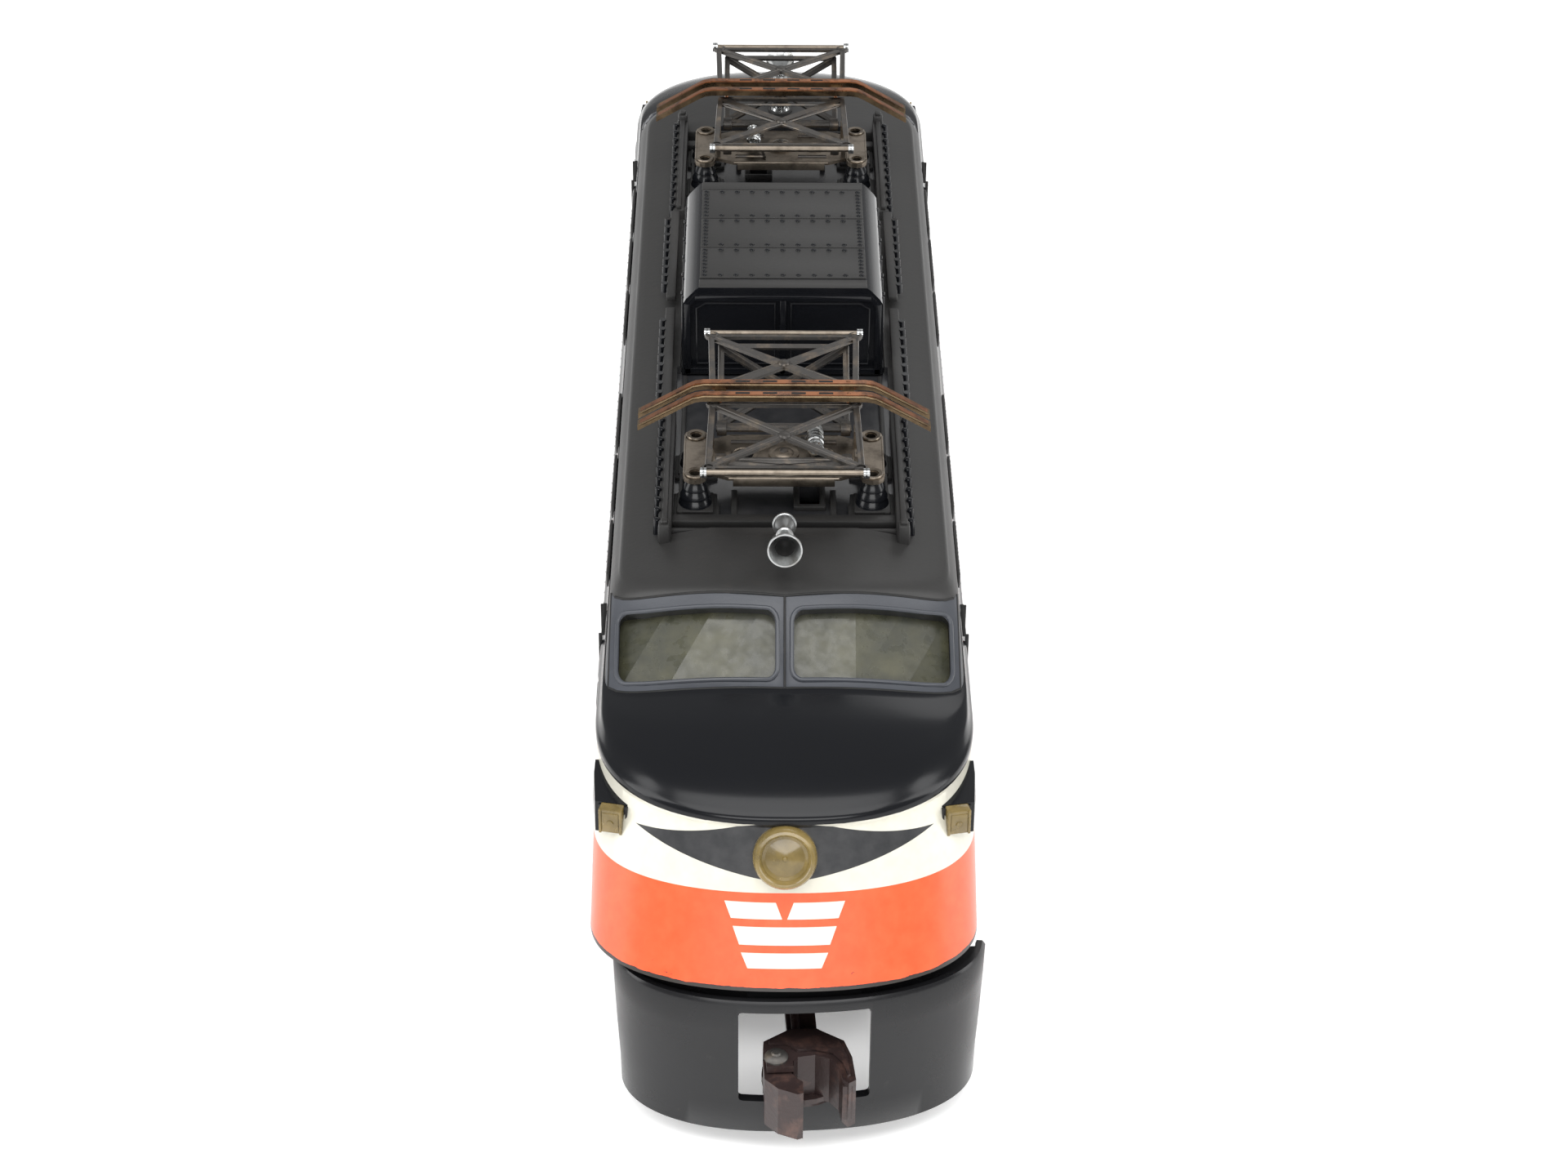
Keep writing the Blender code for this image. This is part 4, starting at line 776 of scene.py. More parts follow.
def build_side_details():
    """Rows of louvres, a door, handrails and rivets along each side."""
    made = Shape()
    for side in (-1, 1):
        for half in (-1, 1):
            x = side * 29.75
            for k in range(3):
                centre = half * (20 + 22 * k)
                made.box((x - 0.25, centre - 8.6, 58.4), (x + 0.25, centre + 8.6, 61.6), 0.1)
                for i in range(12):
                    y = centre - 7.6 + 1.38 * i
                    made.box((x - 0.36, y - 0.3, 58.8), (x + 0.36, y + 0.3, 61.2), 0.12)
            door_y = half * 84.0
            door_x = side * 30.45
            made.box((door_x - 0.3, door_y - 4.6, 33.5), (door_x + 0.3, door_y - 4.2, 60.0), 0.08, 1)
            made.box((door_x - 0.3, door_y + 4.2, 33.5), (door_x + 0.3, door_y + 4.6, 60.0), 0.08, 1)
            made.box((side * 30.0 - 0.3, door_y - 4.6, 59.7),
                     (side * 30.0 + 0.3, door_y + 4.6, 60.1), 0.08, 1)
            made.dome((side * 30.5, door_y + 2.9 * half, 45.0), (side, 0, 0), 0.55, 0.45, 2)
            rail_x = side * 30.55
            for y in (door_y - 6.2, door_y + 6.2):
                made.tube([(rail_x - side * 0.6, y, 38.0), (rail_x, y, 38.6), (rail_x - side * 0.2, y, 54.4),
                           (rail_x - side * 0.8, y, 55.0)], 0.26, slot=2)
            for y in [window * half for window in SIDE_WINDOWS]:
                wall = side * 30.25
                for low, high in (((y - 3.0, 48.6), (y + 3.0, 49.0)), ((y - 3.0, 56.5), (y + 3.0, 56.9)),
                                  ((y - 3.0, 48.6), (y - 2.6, 56.9)), ((y + 2.6, 48.6), (y + 3.0, 56.9))):
                    made.box((wall - 0.35, low[0], low[1]), (wall + 0.25, high[0], high[1]), 0.1, 1)
        for i in range(49):
            y = -78.0 + 3.25 * i
            made.dome((side * 30.35, y, 57.0), (side, 0, 0), 0.3, 0.22, steps=8)
        made.tube([(side * 30.7, -126.0 + 2.0 * i, 32.35) for i in range(127)], 0.28, 6, 1)
    piece(made.object("side_details"), ROOT, ("roof", "seam", "zinc"))


def build_glazing_backing(end_name, end):
    """The amber side panes and the dim bulkhead seen behind the windshield."""
    made = Shape(end)
    for side in (-1, 1):
        for y in SIDE_WINDOWS:
            made.box((side * 28.4 - 0.3, y - 3.3, 48.2), (side * 28.4 + 0.3, y + 3.3, 57.3), 0.1)
    piece(made.object(f"side_glazing_{end_name}"), ROOT, ("glazing",))
    back = Shape(end)
    back.box((-21.0, -88.5, 44.0), (21.0, -87.5, 65.0), 0.3)
    for i in range(5):
        back.box((-16.0 + 7 * i, -89.2, 50.0), (-12.5 + 7 * i, -88.3, 60.0), 0.3)
    piece(back.object(f"cab_bulkhead_{end_name}"), ROOT, ("inside",))


# Plain slanted bars on the nose, each by its corners in (x, z)
MARK_BARS = (
    ((-9.4, 45.0), (-1.4, 45.0), (-0.4, 42.6), (-8.4, 42.6)),
    ((1.4, 45.0), (9.4, 45.0), (8.4, 42.6), (0.4, 42.6)),
    ((-8.1, 41.4), (8.1, 41.4), (7.1, 38.8), (-7.1, 38.8)),
    ((-6.8, 37.6), (6.8, 37.6), (5.8, 35.4), (-5.8, 35.4)),
)


def nose_y(x, z):
    """Distance of the nose face from the middle at a height inside the orange band."""
    low, high = full(FOOT_ROWS[0]), full(FOOT_ROWS[1])
    t = (z - SHELL_BOTTOM) / (BAND_BOTTOM - SHELL_BOTTOM)
    half, apex, start, power = [a + (b - a) * t for a, b in zip(low[:4], high[:4])]
    share = min(abs(x) / half, 1)
    return start + (apex - start) * max(1 - share**power, 0) ** (1 / power)


def build_mark(end_name, end):
    """The bars, each bent to the nose in steps."""
    made = Shape()
    for corners in MARK_BARS:
        (x0, z0), (x1, _), (x2, z1), (x3, _) = corners
        steps = 10
        grid = []
        for i in range(steps + 1):
            t = i / steps
            for (xa, xb, z) in ((x0, x1, z0), (x3, x2, z1)):
                x = xa + (xb - xa) * t
                grid.append((x, z))
        fronts = [made.bm.verts.new((x, -nose_y(x, z) - 0.07, z)) for x, z in grid]
        backs = [made.bm.verts.new((x, -nose_y(x, z) + 0.3, z)) for x, z in grid]
        for i in range(steps):
            a, b, c, d = 2 * i, 2 * i + 1, 2 * i + 3, 2 * i + 2
            made.bm.faces.new((fronts[a], fronts[b], fronts[c], fronts[d]))
            made.bm.faces.new((backs[a], backs[d], backs[c], backs[b]))
            made.bm.faces.new((fronts[a], fronts[d], backs[d], backs[a]))
            made.bm.faces.new((fronts[b], backs[b], backs[c], fronts[c]))
        for a, b in ((0, 1), (2 * steps, 2 * steps + 1)):
            made.bm.faces.new((fronts[a], backs[a], backs[b], fronts[b]))
    bmesh.ops.transform(made.bm, matrix=end, verts=made.bm.verts)
    piece(made.object(f"nose_mark_{end_name}"), ROOT, ("cream",))


# ---- hatch ----


def build_hatch():
    """The riveted roof hatch, with framed end panels and ribbed sides."""
    hatch = Shape()
    top = HATCH_TOP - 0.3
    section = [(-HATCH_X, 71.15), (HATCH_X, 71.15), (HATCH_X - 0.3, 85.6), (HATCH_X - 0.75, 86.4),
               (15.6, 88.3),
               (15.0, top), (-15.0, top), (-15.6, 88.3), (-HATCH_X + 0.75, 86.4), (-HATCH_X + 0.3, 85.6)]
    upright = Matrix(((1, 0, 0, 0), (0, 0, -1, 0), (0, 1, 0, 0), (0, 0, 0, 1)))
    hatch.prism(section, -HATCH_Y + 0.45, HATCH_Y - 0.45, at=upright)
    # Panels of the riveted top plate
    for low, high in ((-17.4, -5.95), (-5.65, 5.65), (5.95, 17.4)):
        hatch.box((-14.9, low, top - 0.2), (14.9, high, HATCH_TOP - 0.02), 0.1, 1)
        for side in (-1, 1):
            for i in range(8):
                y = low + 0.9 + (high - low - 1.8) * i / 7
                hatch.dome((side * 14.1, y, HATCH_TOP - 0.06), (0, 0, 1), 0.5, 0.3)
        for y in (low + 0.9, high - 0.9):
            for i in range(9):
                hatch.dome((-11.2 + 2.8 * i, y, HATCH_TOP - 0.06), (0, 0, 1), 0.5, 0.3)
    for end in (-1, 1):
        hatch.box((-15.0, end * 19.3 - 1.5, top - 0.2), (15.0, end * 19.3 + 1.5, HATCH_TOP - 0.12), 0.12, 1)
        y = end * (HATCH_Y - 0.45)
        for low, high in (((-17.6, 71.3), (17.6, 72.5)), ((-17.6, 71.3), (-16.5, 85.6)),
                          ((16.5, 71.3), (17.6, 85.6)),
                          ((-0.55, 71.3), (0.55, 86.6)), ((-15.8, 86.2), (15.8, 87.3))):
            hatch.box((low[0], y, low[1]), (high[0], y + end * 0.42, high[1]), 0.15)
        for side in (-1, 1):
            hatch.hull([(side * 16.5, y, 85.2), (side * 17.5, y, 85.2),
                        (side * 16.5, y + end * 0.4, 85.2), (side * 17.5, y + end * 0.4, 85.2),
                        (side * 14.9, y, 87.3), (side * 15.7, y, 87.3),
                        (side * 14.9, y + end * 0.4, 87.3), (side * 15.7, y + end * 0.4, 87.3)])
            inner, outer = side * 1.4, side * 15.4
            frame_points = [(inner, y + end * 0.05, 73.4), (outer, y + end * 0.05, 73.4),
                            (outer, y + end * 0.05, 84.6),
                            (outer - side * 1.6, y + end * 0.05, 85.6), (inner, y + end * 0.05, 85.6)]
            hatch.tube(frame_points, 0.22, 6, closed=True)
    for side in (-1, 1):
        x = side * HATCH_X
        for i in range(6):
            y = -17.5 + 7.0 * i
            hatch.box((x - side * 0.5, y - 0.45, 72.0), (x + side * 0.1, y + 0.45, 85.2), 0.12)
        hatch.box((x - side * 0.3, -20.6, 71.2), (x + side * 0.2, 20.6, 72.4), 0.15)
        for i in range(5):
            hatch.dome((x + side * 0.02, -14.0 + 7.0 * i, 84.0), (side, 0, 0), 0.42, 0.28)
    piece(hatch.object("hatch_cover"), ROOT, ("hood", "roof"), ("roof_hatch",))


# ---- horns and pantographs ----


def build_horn(end_name, end):
    """A turned horn with an open bell on a short post, and a dark cap inside the bell painted as the shade of
    its throat.
    """
    bell = shift(0, -79.6, 77.2) @ turn(78, "X")
    horn = Shape(end)
    horn.lathe([(0, 1.4), (1.0, 1.5), (1.75, 2.0), (1.85, 2.6), (1.8, 4.8), (1.6, 5.6), (1.3, 6.3),
                (1.2, 7.7), (1.2, 9.6), (1.3, 11.2), (1.6, 12.6), (2.1, 13.9), (2.65, 15.0), (2.9,
                        15.3), (2.85, 15.6), (2.6, 15.6), (2.1, 14.7), (1.6, 13.9)], 48, at=bell)
    # Painted shade: a dark cap inside the bell stands in for the shaded throat.
    horn.lathe([(1.65, 13.95), (1.2, 13.0), (0.7, 12.2), (0, 11.8)], slot=1, at=bell)
    horn.lathe([(1.15, 8.0), (1.45, 8.2), (1.45, 8.6), (1.15, 8.8)], at=bell)
    horn.lathe([(1.7, 2.7), (2.0, 2.9), (2.0, 3.3), (1.7, 3.5)], at=bell)
    horn.rod((0, -HORN_Y, 74.9), (0, -HORN_Y, 77.6), 1.5, 1.25, 24)
    horn.rod((0, -HORN_Y, 74.9), (0, -HORN_Y, 75.5), 2.1, 1.9, 24)
    piece(horn.object(f"horn_bell_{end_name}"), ROOT, ("zinc", "seam"), (f"horn_{end_name}",))


PANTO_Y = 60.0
SHOE_Y = 2.0
SHOE_Z = 90.3
SHOE_DROP = 5.7
LOWER_PIVOT = (-5.5, 79.6)


def build_spring(end_name, end):
    """A coil spring with hooked ends."""
    place = end @ shift(0, -PANTO_Y, 0)
    spring = Shape(place)
    turns, per_turn = 7, 20
    path = []
    for i in range(turns * per_turn + 1):
        a = 2 * math.pi * i / per_turn
        path.append((5.4 + 1.15 * math.cos(a), -2.0 + 6.3 * i / (turns * per_turn),
                     79.8 + 1.15 * math.sin(a)))
    spring.tube(path, 0.3, 6)
    for y, ahead in ((-2.0, -1.7), (4.3, 1.5)):
        spring.tube([(6.5, y, 79.8), (6.2, y + ahead * 0.5, 80.2), (5.4, y + ahead, 80.0)], 0.28)
    piece(spring.object(f"raising_spring_{end_name}"), ROOT, ("zinc",), (f"panto_{end_name}_spring",))


def build_base_details(end_name, end):
    """Eyelets, bosses and turned edges on the stamped base."""
    place = end @ shift(0, -PANTO_Y, 0)
    made = Shape(place)
    for side in (-1, 1):
        x = side * 15.0
        for y in (-6.3, 6.3):
            made.lathe([(1.05, 77.4), (1.05, 77.85), (1.6, 77.95), (1.75, 77.75), (1.7, 77.5)], 24,
                       at=shift(x, y, 0))
        edge = [(x - 1.85, -6.3, 77.55), (x - 1.85, 6.3, 77.55)]
        made.tube(edge, 0.18, 6)
        made.tube([(x + 1.85, p[1], p[2]) for p in edge], 0.18, 6)
        made.dome((side * 12.35 - side * 0.1, -4.1, 79.7), (side, 0, 0), 0.9, 0.75, 1, 12)
        made.dome((side * 12.35 - side * 0.1, 4.1, 79.7), (side, 0, 0), 0.9, 0.75, 1, 12)
        made.lathe([(1.75, 77.2), (2.0, 77.5), (2.3, 77.4), (2.35, 77.0)], 24, at=shift(side * 6.8, 0.6, 0))
    made.dome((0, 0, 77.9), (0, 0, 1), 1.9, 0.6, steps=24)
    made.dome((0, 0, 78.3), (0, 0, 1), 0.8, 0.5, 1, 16)
    for y in (-4.6, 4.6):
        for side in (-1, 1):
            made.tube([(side * 3.4, y, 77.4), (side * 9.0, y, 77.4)], 0.35, slot=1)
    for y in (-6.9, 6.9):
        made.tube([(-9.3, y, 77.15), (9.3, y, 77.15)], 0.3)
        made.box((-8.6, y, 75.6), (8.6, y * 1.04, 77.2), 0.12)
    made.tube([(3.2, 5.6, 77.6), (3.8, 3.9, 78.6), (5.0, 4.5, 79.8)], 0.3, slot=1)
    piece(made.object(f"panto_base_details_{end_name}"), ROOT, ("nickel", "dark_steel"))


def build_arm_details(end_name, end):
    """Eyelets, cross bosses and turned-up edges on the stamped arms."""
    for side_name, local in (("outer", FRONT), ("inner", REAR)):
        place = end @ shift(0, -PANTO_Y, 0) @ local
        upper = Shape(place)
        eyelets, head_y, head_z = (2, -2.1, 88.7) if side_name == "outer" else (1, -4.2, 88.4)
        for side in (-1, 1):
            for x, y, z in ((12.45, -22.3, 88.25), (11.9, -2.0, 88.6))[:eyelets]:
                upper.lathe([(0.75, -0.45), (1.15, -0.35), (1.25, 0), (1.15, 0.35), (0.75, 0.45)], 18,
                            at=shift(side * x, y, z))
            upper.tube([(side * 12.75, -22.0, 88.25), (side * 12.3, head_y - 0.1, head_z - 0.05)], 0.34)
            upper.tube([(side * 12.0, -21.6, 88.4), (-side * 11.6, head_y - 0.5, head_z + 0.05)], 0.22, 6)
        upper.dome((0, -12.1, 88.65), (0, 0, 1), 1.15, 0.5, steps=18)
        upper.tube([(-11.8, head_y, head_z), (11.8, head_y, head_z)], 0.3)
        upper.tube([(-12.4, -22.1, 88.3), (12.4, -22.1, 88.3)], 0.3)
        piece(upper.object(f"upper_arm_details_{end_name}_{side_name}"),
              f"panto_{end_name}_{side_name}_upper", ("dark_steel",))
        lower = Shape(place)
        slope = Vector((0, -17.9, 8.6)).normalized()
        for side in (-1, 1):
            start = Vector((side * 11.0, *LOWER_PIVOT))
            lower.tube([start, start + slope * 17.2], 0.36)
            lower.lathe([(0.0, -0.9), (1.3, -0.8), (1.35, 0), (1.3, 0.8), (0.0, 0.9)], 20,
                        at=shift(side * 10.6, *LOWER_PIVOT) @ turn(90, "Y"))
            for x, z in ((13.1, 88.2), (13.5, 88.2)):
                lower.lathe([(0.0, -0.35), (0.9, -0.3), (0.9, 0.3), (0.0, 0.35)], 18, 1,
                            at=shift(side * x, -23.4, z) @ turn(90, "Y"))
            other = Vector((-side * 10.4, *LOWER_PIVOT)) + slope * 16.8
            lower.tube([start + slope * 0.8 + Vector((-side * 0.5, 0, 0.15)), other + Vector((0, 0, 0.15))],
                       0.24, 6)
        middle = Vector((0, *LOWER_PIVOT)) + slope * 8.8
        lower.dome(middle, (0, slope.z, -slope.y), 1.2, 0.5, steps=18)
        piece(lower.object(f"lower_arm_details_{end_name}_{side_name}"),
              f"panto_{end_name}_{side_name}_lower", ("dark_steel", "zinc"))


def build_collector(end_name, end):
    """Two bent channels with a copper rubbing strip, tied by straps."""
    place = end @ shift(0, -PANTO_Y, 0)
    made = Shape(place)
    for y in (-SHOE_Y, SHOE_Y):
        def bar(z_low, z_high, half_y, reach):
            profile = [(-24.7 * reach, -SHOE_DROP * reach), (-16.2, -0.75), (-15.0, -0.2), (-13.6, 0),
                       (13.6, 0),
                       (15.0, -0.2), (16.2, -0.75), (24.7 * reach, -SHOE_DROP * reach)]
            rings = []
            for x, dz in profile:
                z = SHOE_Z + dz
                corners = ((y - half_y, z + z_low), (y + half_y, z + z_low), (y + half_y, z + z_high),
                           (y - half_y, z + z_high))
                rings.append([made.bm.verts.new((x, cy, cz)) for cy, cz in corners])
            faces = []
            for low, high in zip(rings, rings[1:]):
                for k in range(4):
                    m = (k + 1) % 4
                    faces.append(made.bm.faces.new((low[k], low[m], high[m], high[k])))
            faces.append(made.bm.faces.new(rings[0]))
            faces.append(made.bm.faces.new(list(reversed(rings[-1]))))
            return faces, [v for each in rings for v in each]

        for (z_low, z_high, half_y, reach), slot in (((-0.65, 0.42, 0.85, 1.0), 1),
                                                     ((0.35, 0.55, 0.6, 0.985), 0)):
            faces, verts = bar(z_low, z_high, half_y, reach)
            for f in faces:
                f.material_index = slot
            made.settle(verts)
        for side in (-1, 1):
            made.tube([(side * 24.2, y - 0.85, 85.15), (side * 15.4, y - 0.85, 90.2),
                       (side * 13.6, y - 0.85, 90.6), (0, y - 0.85, 90.6)], 0.2, 6, 1)
            made.dome((side * 24.0, y, 84.95), (side * 0.5, 0, 0.85), 0.5, 0.3, 1)
        for x in (-7.0, -2.4, 2.4, 7.0):
            made.box((x - 1.2, y - 0.28, 90.82), (x + 1.2, y + 0.28, 90.9), 0.03, 2)
    for x in (-10.8, 10.8):
        made.box((x - 1.0, -2.1, 89.55), (x + 1.0, 2.1, 90.1), 0.12, 1)
        made.box((x - 1.35, -1.0, 88.95), (x + 1.35, 1.0, 89.6), 0.15)
        made.tube([(x, -1.4, 89.0), (x, -2.2, 87.9), (x, -1.3, 87.0)], 0.32)
        for y in (-SHOE_Y, SHOE_Y):
            made.dome((x, y, 90.82), (0, 0, 1), 0.42, 0.1)
    piece(made.object(f"collector_shoes_{end_name}"), f"panto_{end_name}_head", ("copper", "bronze", "seam"),
          (f"panto_{end_name}_collector_head",))


# ---- trucks ----

TRUCK_TURN = 3.2
KINGPIN_Y = 88.0
AXLE_Y = 23.0
AXLE_Z = 11.7


def truck_place(end):
    return end @ shift(0, -KINGPIN_Y, 0) @ turn(TRUCK_TURN, "Z")


def pilot_outline(offset, flare):
    """Plan outline of the pilot, inset by offset and widened by flare."""
    points = []
    steps = 28
    for step in range(-steps, steps + 1):
        angle = math.pi / 2 * 0.93 * step / steps
        x = (29.0 * flare - offset) * math.copysign(abs(math.sin(angle)) ** (2 / 2.3), angle)
        points.append((x, -43 - (59.5 - 43 - offset) * math.cos(angle) ** (2 / 2.3)))
    return points


def build_pilot(end_name, end):
    """A thin curved apron with a square mouth and a shelf for the coupler."""
    shape = Shape()
    levels = [(3.0, 1.0, 0.5), (3.6, 1.001, 0), (9.0, 1.005, 0), (16.0, 1.018, 0), (24.0, 1.03, 0),
              (29.3, 1.035, 0),
              (30.0, 1.035, 0.5)]
    outer, inner = [], []
    for z, flare, inset in levels:
        outer.append([shape.bm.verts.new((x, y, z)) for x, y in pilot_outline(inset, flare)])
        inner.append([shape.bm.verts.new((x, y, z)) for x, y in pilot_outline(1.6 - inset * 0.4, flare)])
    for rows, flip in ((outer, False), (inner, True)):
        for low, high in zip(rows, rows[1:]):
            for i in range(len(low) - 1):
                corners = [low[i], low[i + 1], high[i + 1], high[i]]
                shape.bm.faces.new(corners[::-1] if flip else corners)
    for o, n in ((outer[0], inner[0]), (outer[-1], inner[-1])):
        for i in range(len(o) - 1):
            shape.bm.faces.new((o[i], n[i], n[i + 1], o[i + 1]))
    for k in (0, -1):
        for low_o, high_o, low_n, high_n in zip(outer, outer[1:], inner, inner[1:]):
            shape.bm.faces.new((low_o[k], high_o[k], high_n[k], low_n[k]))
    wall = shape.object("pilot_wall", 40)
    mouth = Shape()
    mouth.box((-10.5, -70, 9.8), (10.5, -50, 28.0), 0.6)
    cut_with(wall, [mouth.object("cutter")])
    extra = Shape()
    extra.bm.from_mesh(wall.data)
    extra.bm.transform(Matrix.Diagonal((1 / MM, 1 / MM, 1 / MM, 1)))
    bpy.data.objects.remove(wall, do_unlink=True)
    extra.box((-9.0, -58.0, 28.4), (9.0, -42.0, 29.6), 0.2)
    deck = [(x, y) for x, y in pilot_outline(1.2, 1.035) if y < -45.5]
    extra.prism(deck, 28.7, 29.5)
    for x in (-8.8, 8.8):
        extra.hull([(x + dx, -31.4, z) for dx in (-0.8, 0.8) for z in (17.0, 23.0)]
                   + [(x + dx, -43.0, z) for dx in (-0.8, 0.8) for z in (22.0, 29.4)])
        extra.dome((x, -45.0, 28.4), (0, 0, -1), 1.3, 0.7, steps=16)
    extra.bm.transform(truck_place(end))
    piece(extra.object(f"pilot_apron_{end_name}", 40), f"truck_{end_name}", ("black_paint",),
          (f"truck_{end_name}_pilot",))


def build_coupler_details(end_name, end):
    """The knuckle pin, the jaw's lip, side brackets and a bar."""
    place = truck_place(end)
    made = Shape(place)
    made.lathe([(1.9, 19.9), (1.9, 20.35), (1.5, 20.8), (0.7, 21.0), (0, 21.05)], 24, 1,
               at=shift(-4.6, -60.6, 0))
    made.lathe([(0.9, 20.9), (0.6, 21.2), (0, 21.25)], 18, 1, at=shift(-4.6, -60.6, 0))
    made.prism([(-2.2, -54.2), (2.2, -54.2), (5.6, -57.2), (6.6, -61.0), (6.8, -65.6), (6.2, -66.2),
                (6.0, -62.6), (4.4, -60.2), (1.6, -59.2), (-1.2, -59.6), (-2.6, -57.8), (-5.6, -57.8), (-5.6,
                        -56.9)][::-1], 19.9, 20.5, 0.25)
    made.lathe([(6.4, 10.75), (6.6, 10.4), (5.6, 10.0), (2.2, 9.8), (0, 9.8)], 36, at=shift(0, -55.0, 0))
    made.box((5.4, -66.9, 12.0), (7.2, -65.9, 19.0), 0.25)
    for side in (-1, 1):
        made.hull([(side * 3.6, -41.0, 16.0), (side * 3.6, -41.0, 21.5), (side * 4.6, -41.0, 16.0),
                   (side * 4.6, -41.0, 21.5), (side * 7.4, -52.0, 23.0), (side * 8.2, -52.0,
                           23.0), (side * 7.4, -52.0, 27.0), (side * 8.2, -52.0, 27.0)])
    made.tube([(-1.0, -53.0, 18.6), (-1.0, -40.0, 18.8), (-1.0, -22.0, 18.6)], 0.7, 10)
    piece(made.object(f"coupler_details_{end_name}"), f"truck_{end_name}_coupler",
          ("coupler_brown", "dark_steel"))


def build_truck_details(end_name, end):
    """Journal boxes, springs, rivets and rods, and the faces of the wheels."""
    place = truck_place(end)
    made = Shape(place)
    for side in (-1, 1):
        x = side * 26.2
        for y in (-AXLE_Y, AXLE_Y):
            made.box((x, y - 3.4, 8.8), (x + side * 1.55, y + 3.4, 15.2), 0.4)
            made.dome((x + side * 1.4, y, 12.2), (side, 0, 0), 2.0, 0.5, steps=20)
            for dy, dz in ((-2.6, -2.4), (2.6, -2.4), (-2.6, 2.6), (2.6, 2.6)):
                made.dome((x + side * 1.5, y + dy, 12.0 + dz), (side, 0, 0), 0.4, 0.3, 1, 8)
            made.box((x - side * 0.4, y - 6.2, 19.0), (x + side * 0.6, y + 6.2, 20.4), 0.25)
        for i in range(6):
            z = 13.2 + 0.85 * i
            reach = 7.6 - 0.85 * i
            made.box((x - side * 1.2, -reach, z), (x + side * 0.7, reach, z + 0.6), 0.15)
        for y in (-4.5, 4.5):
            coil = []
            for i in range(61):
                a = 2 * math.pi * i / 12
                coil.append((side * 24.5 + 2.95 * math.cos(a), y + 2.95 * math.sin(a), 18.5 + 6.4 * i / 60))
            made.tube(coil, 0.42, 6)
        for y in (-29.0, -13.0, 13.0, 29.0):
            made.dome((x, y, 22.6), (side, 0, 0), 0.8, 0.5, 1, 12)
        made.tube([(x - side * 0.2, -30.6, 24.2), (x - side * 0.2, -16.0, 27.1),
                   (x - side * 0.2, 16.0, 27.1), (x - side * 0.2, 30.6, 24.2)], 0.5)
        made.tube([(x + side * 0.3, -33.0, 12.0), (x + side * 0.3, -30.0, 21.0)], 0.5)
        made.tube([(x + side * 0.3, 33.0, 12.0), (x + side * 0.3, 30.0, 21.0)], 0.5)
    for y in (-27.0, 27.0):
        made.box((-12.0, y - 1.2, 23.3), (12.0, y + 1.2, 24.1), 0.2)
        made.dome((-9.0, y, 24.0), (0, 0, 1), 0.9, 0.5, 1, 12)
        made.dome((9.0, y, 24.0), (0, 0, 1), 0.9, 0.5, 1, 12)
    piece(made.object(f"truck_details_{end_name}"), f"truck_{end_name}", ("cast_iron", "zinc"))
    for axle, y in (("lead", -AXLE_Y), ("trail", AXLE_Y)):
        wheels = Shape(place)
        for side in (-1, 1):
            spot = shift(0, y, AXLE_Z) @ turn(side * 90, "Y")
            wheels.lathe([(10.35, 14.6), (10.3, 17.0), (10.2, 19.3), (9.9, 19.55), (8.6, 19.55),
                          (8.2, 19.2)], 48, 1, at=spot)
            wheels.lathe([(11.72, 13.5), (11.75, 14.1), (11.5, 14.7), (10.4, 14.9)], 48, 1, at=spot)
            wheels.lathe([(3.5, 18.2), (3.3, 19.3), (2.4, 19.8), (1.7, 20.0), (1.7, 21.1), (0, 21.2)], 28,
                         at=spot)
            for k in range(10):
                a = math.radians(36 * k)
                wheels.tube([(*on_circle(3.0, a), 18.5), (*on_circle(7.9, a), 18.5)], 0.55, 6, at=spot)
        piece(wheels.object(f"wheel_faces_{end_name}_{axle}"), f"truck_{end_name}_{axle}_axle",
              ("cast_iron", "tyre"))


# ---- underside ----


def build_tank_details():
    """Ribs, louvres, rivets and plugs of the underframe tank."""
    made = Shape()
    for side in (-1, 1):
        x = side * 25.5
        for low, high in ((14.6, 15.4), (29.4, 30.2)):
            made.box((x, -37.4, low), (x + side * 0.6, 37.4, high), 0.2)
        for i in range(24):
            made.dome((x + side * 0.02, -35.6 + 3.1 * i, 27.6), (side, 0, 0), 0.4, 0.3, steps=8)
        for k in range(2):
            y = -24 + 48 * k
            made.box((x, y - 3.6, 17.0), (x + side * 0.55, y + 3.6, 25.0), 0.3)
            for i in range(5):
                made.box((x, y - 3.0, 18.0 + 1.4 * i), (x + side * 0.8, y + 3.0, 18.7 + 1.4 * i), 0.15)
    for y in (-38.0, 38.0):
        direction = 1 if y > 0 else -1
        for x in (-18, -6, 6, 18):
            made.dome((x, y, 22.0), (0, direction, 0), 0.9, 0.6, steps=14)
        made.box((-22.0, y, 16.0), (22.0, y + direction * 0.4, 17.0), 0.15)
    for x in (-12, 0, 12):
        made.box((x - 0.8, -34.0, 12.75), (x + 0.8, 34.0, 13.2), 0.15)
    for x in (-20, 20):
        for y in (-33, 33):
            made.lathe([(2.4, 13.1), (2.2, 12.7), (0.8, 12.55), (0, 12.6)], 24, at=shift(x, y, 0))
    piece(made.object("tank_details"), ROOT, ("black_paint",))


# ---- studio ----


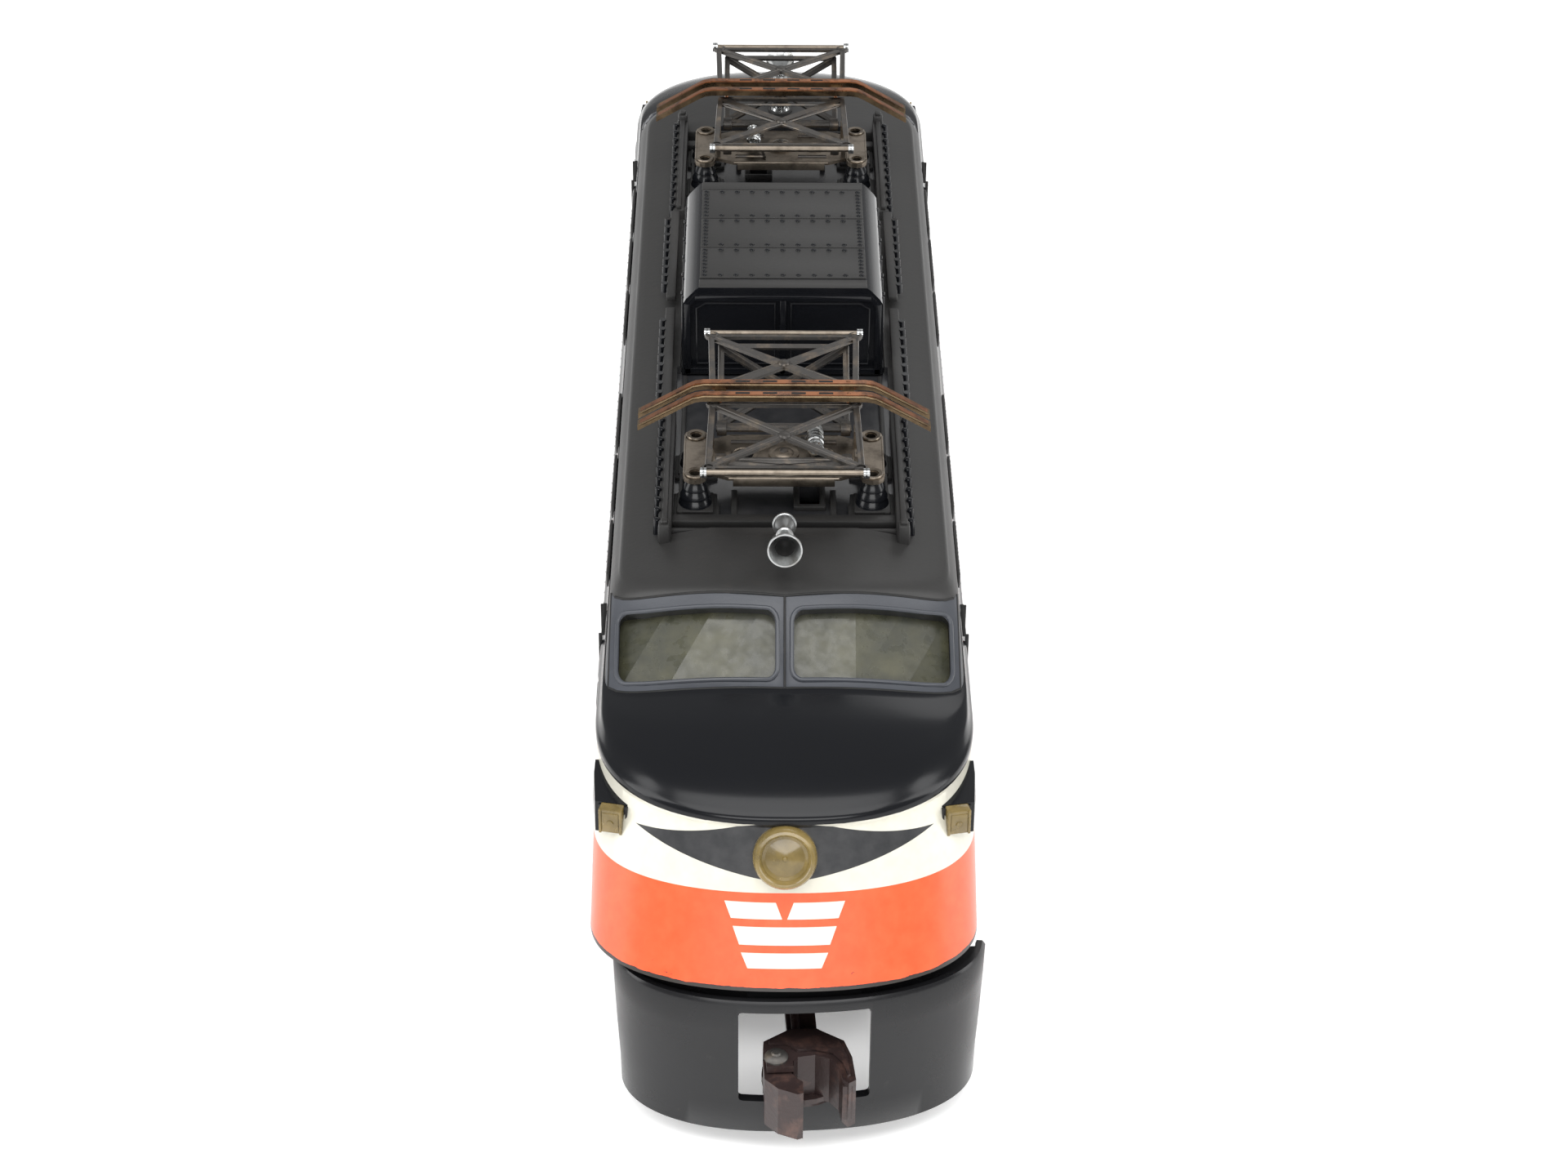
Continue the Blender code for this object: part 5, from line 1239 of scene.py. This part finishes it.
def build_studio():
    pale, tree, shader, coordinates = new_material("studio_floor")
    grain = noise(tree, coordinates, 3.0, 3.0)
    shade = spread(tree, grain, "Fac", 0.3, 0.7, 0, 1)
    tree.links.new(blended(tree, shade.outputs["Result"], (0.90, 0.90, 0.895), (0.93, 0.93, 0.925)),
                   shader.inputs["Base Color"])
    shader.inputs["Roughness"].default_value = 0.8
    shader.inputs["Specular IOR Level"].default_value = 0.1
    shader.inputs["Emission Color"].default_value = (1, 1, 1, 1)
    shader.inputs["Emission Strength"].default_value = 0.3
    bm = bmesh.new()
    bmesh.ops.create_grid(bm, x_segments=4, y_segments=4, size=6.0)
    mesh = bpy.data.meshes.new("studio_floor")
    bm.to_mesh(mesh)
    bm.free()
    floor = bpy.data.objects.new("studio_floor", mesh)
    floor.location.z = -0.0004
    bpy.context.scene.collection.objects.link(floor)
    mesh.materials.append(pale)

    def area(name, where, target, size, watts):
        light = bpy.data.lights.new(name, "AREA")
        light.shape = "RECTANGLE"
        light.size, light.size_y = size
        light.energy = watts
        lamp = bpy.data.objects.new(name, light)
        lamp.location = where
        aim = Vector(target) - Vector(where)
        lamp.rotation_euler = aim.to_track_quat("-Z", "Y").to_euler()
        bpy.context.scene.collection.objects.link(lamp)

    area("top_softbox", (0.0, -0.45, 1.1), (0, -0.05, 0.05), (1.1, 0.7), 9)
    area("left_softbox", (-0.95, -0.25, 0.6), (0, 0, 0.05), (0.5, 1.2), 7.5)
    area("right_softbox", (0.95, -0.15, 0.55), (0, 0, 0.05), (0.4, 1.2), 6)
    area("front_softbox", (0.0, -1.15, 0.5), (0, -0.1, 0.04), (0.9, 0.35), 5)
    area("rear_softbox", (0.3, 1.1, 0.9), (0, 0.05, 0.05), (0.8, 0.3), 1.2)
    world = bpy.data.worlds.new("studio_world")
    bpy.context.scene.world = world
    world.use_nodes = True
    world.node_tree.nodes["Background"].inputs["Color"].default_value = (1, 1, 1, 1)
    world.node_tree.nodes["Background"].inputs["Strength"].default_value = 0.42
    bpy.context.scene.view_settings.view_transform = "Standard"


TILT = math.radians(33.1709)
YAW = math.radians(-0.560)
ROLL = math.radians(0.502)


def place_camera():
    across = Vector((math.cos(YAW), math.sin(YAW), 0))
    ahead = Vector((-math.sin(YAW), math.cos(YAW), 0))
    rise = Vector((0, 0, 1))
    forward = ahead * math.cos(TILT) - rise * math.sin(TILT)
    upward = ahead * math.sin(TILT) + rise * math.cos(TILT)
    right = across * math.cos(ROLL) + upward * math.sin(ROLL)
    top = -across * math.sin(ROLL) + upward * math.cos(ROLL)
    place = Matrix((right, top, -forward)).transposed().to_4x4()
    place.translation = Vector((-4.658, -561.048, 378.060)) * MM
    data = bpy.data.cameras.new("camera")
    data.lens = 78.75
    data.sensor_width = 36
    data.clip_start = 0.01
    data.dof.use_dof = False
    camera = bpy.data.objects.new("camera", data)
    camera.matrix_world = place
    bpy.context.scene.collection.objects.link(camera)
    bpy.context.scene.camera = camera


# ---- assembly ----

KEPT_FINISH = {"amber": "glazing", "zinc": "zinc", "nickel": "nickel", "dark_steel": "dark_steel",
               "copper": "copper", "black_paint": "black_paint", "cast_iron": "cast_iron",
               "coupler_brown": "coupler_brown", "battery_wrap": "battery_wrap", "brass": "brass",
               "black_moulding": "black_moulding"}
for name, obj in NODES.items():
    finish = MATERIALS["nickel" if "knee_rod" in name else KEPT_FINISH[SLOT_OF[name]]]
    for index in range(len(obj.material_slots)):
        obj.material_slots[index].material = finish

build_shell()
build_hatch()
build_side_details()
for end_name, end in ENDS:
    build_windshield_trim(end_name, end)
    build_fairings(end_name, end)
    for side_name, side in (("left", -1), ("right", 1)):
        marker_lens(f"marker_lens_{end_name}_{side_name}_glass", end @ marker_place(side))
    build_headlight(end_name, end)
    build_roof_details(end_name, end)
    build_glazing_backing(end_name, end)
    build_mark(end_name, end)
    build_horn(end_name, end)
    build_spring(end_name, end)
    build_base_details(end_name, end)
    build_arm_details(end_name, end)
    build_collector(end_name, end)
    build_pilot(end_name, end)
    build_coupler_details(end_name, end)
    build_truck_details(end_name, end)
build_tank_details()
build_studio()
place_camera()
